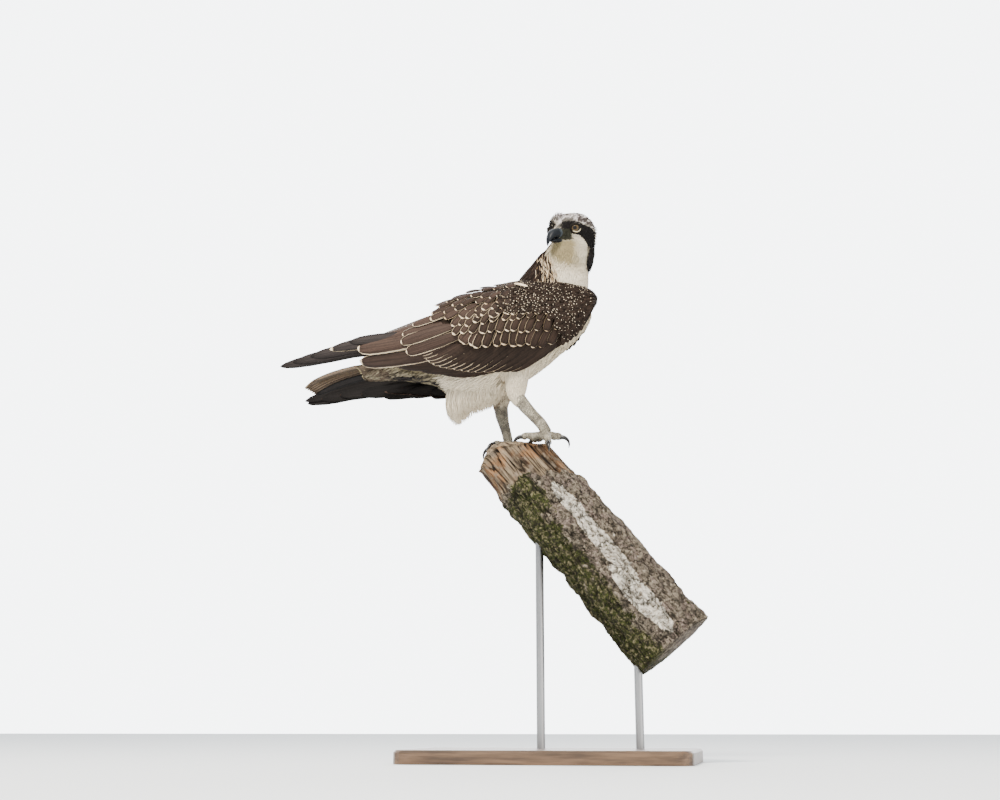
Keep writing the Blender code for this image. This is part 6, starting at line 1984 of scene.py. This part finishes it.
def buildPerch():
    """A tube of many rings along the branch, dented by bark plates and long cracks, closed
    by a splintered end that follows the same broken line as the solid."""
    material = barkMaterial()
    count = 300
    turns = np.linspace(0, 2 * math.pi, count, endpoint=False)
    knot = 1 + 0.035 * np.sin(3 * turns + 0.6) + 0.020 * np.sin(7 * turns)
    circle = np.stack([np.cos(turns), np.sin(turns)], -1)
    reaches = np.concatenate([np.linspace(0.06, 0.97, 26), np.ones(1)])[:, None]
    r = branchRadius * knot * reaches
    sideways = np.array([0, 1.06, 0])
    foot = branchStart + branchUpper * (r * circle[:, 0])[..., None] + sideways * (r * circle[:, 1])[..., None]
    foot = foot - branchUpper * (0.010 * smoothStep(0.35, 1.0, reaches))[..., None]
    splinter = layeredNoise(np.stack([r * 260 * circle[:, 0], r * 260 * circle[:, 1], 0 * r], -1), 3, 5) - 0.5
    lowered = brokenEnd(turns, reaches) + 0.0024 * splinter * smoothStep(0.03, 0.3, reaches)
    way = (foot[..., 2] - lowered) / -branchAlong[2]
    tops = foot + branchAlong * way[..., None]
    offset = foot[-1] - branchStart
    rimWay = way[-1]
    outward = unitOf(offset)
    shares = np.linspace(0, 1, 200)[1:, None]
    place = rimWay + (branchLength - rimWay) * shares
    distance = place - rimWay
    swell = 1 + 0.10 * shares + 0.02 * np.sin(9 * shares) * (1 - shares)
    base = branchStart + branchAlong * place[..., None] + offset * swell[..., None]

    def field(scale, around, octaves, seed):
        spots = np.stack([place * scale, circle[:, 0] * around + 0 * place, circle[:, 1] * around + 0 * place], -1)
        return layeredNoise(spots, octaves, seed)

    plates, fibre = field(30, 3.6, 3, 1), field(46, 30, 2, 9)
    cracks = np.abs(field(20, 10, 3, 7) - 0.5) * 2
    gaps = np.abs(field(11, 9, 2, 12) - 0.5) * 2
    lumps = field(75, 7, 3, 15)
    bare = smoothStep(perchLook["bare"] + 0.014, perchLook["bare"] - 0.006, distance + 0.030 * (plates - 0.5))
    step = smoothStep(0.44, 0.49, plates)
    barkHeight = 0.0036 * step + 0.0060 * (plates - 0.5) + 0.0070 * (lumps - 0.5)
    barkHeight = barkHeight - 0.0034 * (1 - smoothStep(0.0, 0.14, cracks)) + 0.0006 * fibre
    woodHeight = -0.0022 - 0.0042 * (1 - smoothStep(0.0, 0.20, gaps)) + 0.0022 * fibre
    high = mixOf(barkHeight, woodHeight, bare) * smoothStep(0, 0.006, distance + 0.002) - 0.0012
    rings = np.concatenate([tops, base + outward * high[..., None]])
    upper = circle[:, 0] + 0 * distance
    near = clampTo(-circle[:, 1] * 1.5)
    mossy = smoothStep(0.05, -0.55, upper) * smoothStep(0.050, 0.080, distance)
    mossy = np.maximum(mossy, near * ellipseShare(perchLook["moss"], distance, upper))
    peeled = np.maximum(ellipseShare(perchLook["peeled"], distance, upper), 0.25 * smoothStep(-0.2, 0.6, upper))
    depth = mixOf(0.25 + 0.75 * smoothStep(0.0, 0.16, cracks), smoothStep(0.0, 0.18, gaps), bare)
    zero = np.zeros(way.shape)
    own = np.stack([np.concatenate([zero + 1, bare]), np.concatenate([zero, mossy]), np.concatenate([zero, peeled])], -1)
    relief = np.concatenate([zero + 0.55 + splinter * 0.6, depth])
    points, quads, tris = tubeGrid(rings, rings[0].mean(0), rings[-1].mean(0))
    obj = meshFromArrays("perch_bark", points, quads, tris, material)
    addVector(obj, "own", np.concatenate([own.reshape(-1, 3), [[1, 0, 0]], [[0, 0, 0]]]))
    relief = np.concatenate([relief.ravel(), [0.6, 0.6]])
    addVector(obj, "relief", np.stack([relief, relief, relief], -1))
    keepPiece(obj, ("perch",))
    print("perch built")


# Stand: the solids themselves, with better finishes

def standMaterials():
    wood, tree, shader = newMaterial("standWood")
    n = Nodes(tree)
    coords = n.make("ShaderNodeTexCoord").outputs["Object"]
    grain = n.noise(n.scaled(coords, (4.0, 60.0, 60.0)), 3.0, 6.0, 0.6)
    n.join(n.mix(n.ramp(grain, 0.3, 0.7), (0.050, 0.028, 0.016, 1), (0.17, 0.10, 0.055, 1)), shader.inputs["Base Color"])
    shader.inputs["Roughness"].default_value = 0.42
    n.join(n.bump(grain, 0.15, 0.0005), shader.inputs["Normal"])
    steel, tree, shader = newMaterial("standSteel")
    n = Nodes(tree)
    coords = n.make("ShaderNodeTexCoord").outputs["Object"]
    grain = n.noise(n.scaled(coords, (400.0, 400.0, 12.0)), 1.0, 3.0)
    shader.inputs["Base Color"].default_value = (0.42, 0.42, 0.43, 1)
    shader.inputs["Metallic"].default_value = 1.0
    n.join(n.ramp(grain, 0.2, 0.8, 0.28, 0.42), shader.inputs["Roughness"])
    for name, material in (("stand_base", wood), ("stand_rod_1", steel), ("stand_rod_2", steel)):
        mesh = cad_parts[name].data
        mesh.materials.clear()
        mesh.materials.append(material)


# Room, light and camera

def buildRoom():
    floorLook, tree, shader = newMaterial("floor")
    shader.inputs["Base Color"].default_value = (0.88, 0.90, 0.91, 1)
    shader.inputs["Roughness"].default_value = 0.9
    corners = np.array([(-8, -8, -0.0005), (8, -8, -0.0005), (8, 8, -0.0005), (-8, 8, -0.0005)], float)
    floor = meshFromArrays("floor", corners, [[0, 1, 2, 3]], np.zeros((0, 3), int), floorLook, shift=False)
    world = bpy.data.worlds.new("sky")
    bpy.context.scene.world = world
    world.use_nodes = True
    n = Nodes(world.node_tree)
    back = world.node_tree.nodes["Background"]
    back.inputs["Color"].default_value = (0.925, 0.955, 0.975, 1)
    # The sky glows on the far side of the bird and is dimmer all round.
    way = n.make("ShaderNodeVectorMath", operation="DOT_PRODUCT")
    n.join(n.make("ShaderNodeTexCoord").outputs["Generated"], way.inputs[0])
    way.inputs[1].default_value = (-0.20, 0.95, 0.24)
    n.join(n.ramp(way.outputs["Value"], 0.62, 0.92, 0.95, 6.8), back.inputs["Strength"])
    for name, place, size, power in (
        ("key", (-0.5, -2.3, 3.0), 0.9, 235),
        ("fill", (2.2, -1.8, 1.0), 2.0, 26),
    ):
        lamp = bpy.data.lights.new(name, "AREA")
        lamp.energy = power
        lamp.size = size
        lamp.color = (1.0, 0.94, 0.84)
        obj = bpy.data.objects.new(name, lamp)
        obj.location = place
        aim = Vector((0, 0, 0.6)) - Vector(place)
        obj.rotation_euler = aim.to_track_quat("-Z", "Y").to_euler()
        bpy.context.scene.collection.objects.link(obj)


def buildCamera():
    azimuth, elevation = math.radians(12.0), math.radians(-14.5)
    right = Vector((math.cos(azimuth), math.sin(azimuth), 0))
    back = Vector((math.sin(azimuth) * math.cos(elevation), -math.cos(azimuth) * math.cos(elevation), math.sin(elevation)))
    up = back.cross(right)
    data = bpy.data.cameras.new("camera")
    data.lens = 45.6
    data.sensor_width = 36.0
    data.clip_start = 0.05
    camera = bpy.data.objects.new("camera", data)
    turn = Matrix((right, up, back)).transposed().to_4x4()
    camera.matrix_world = Matrix.Translation((0.307, -1.799, 0.047)) @ turn
    bpy.context.scene.collection.objects.link(camera)
    bpy.context.scene.camera = camera


skinPiece = buildSkin()
print("skin built")
buildCoat(skinPiece)
buildWings()
buildTail()
buildBill()
buildEyes()
buildFeet()
buildPerch()
standMaterials()
buildRoom()
buildCamera()
bpy.context.view_layer.update()
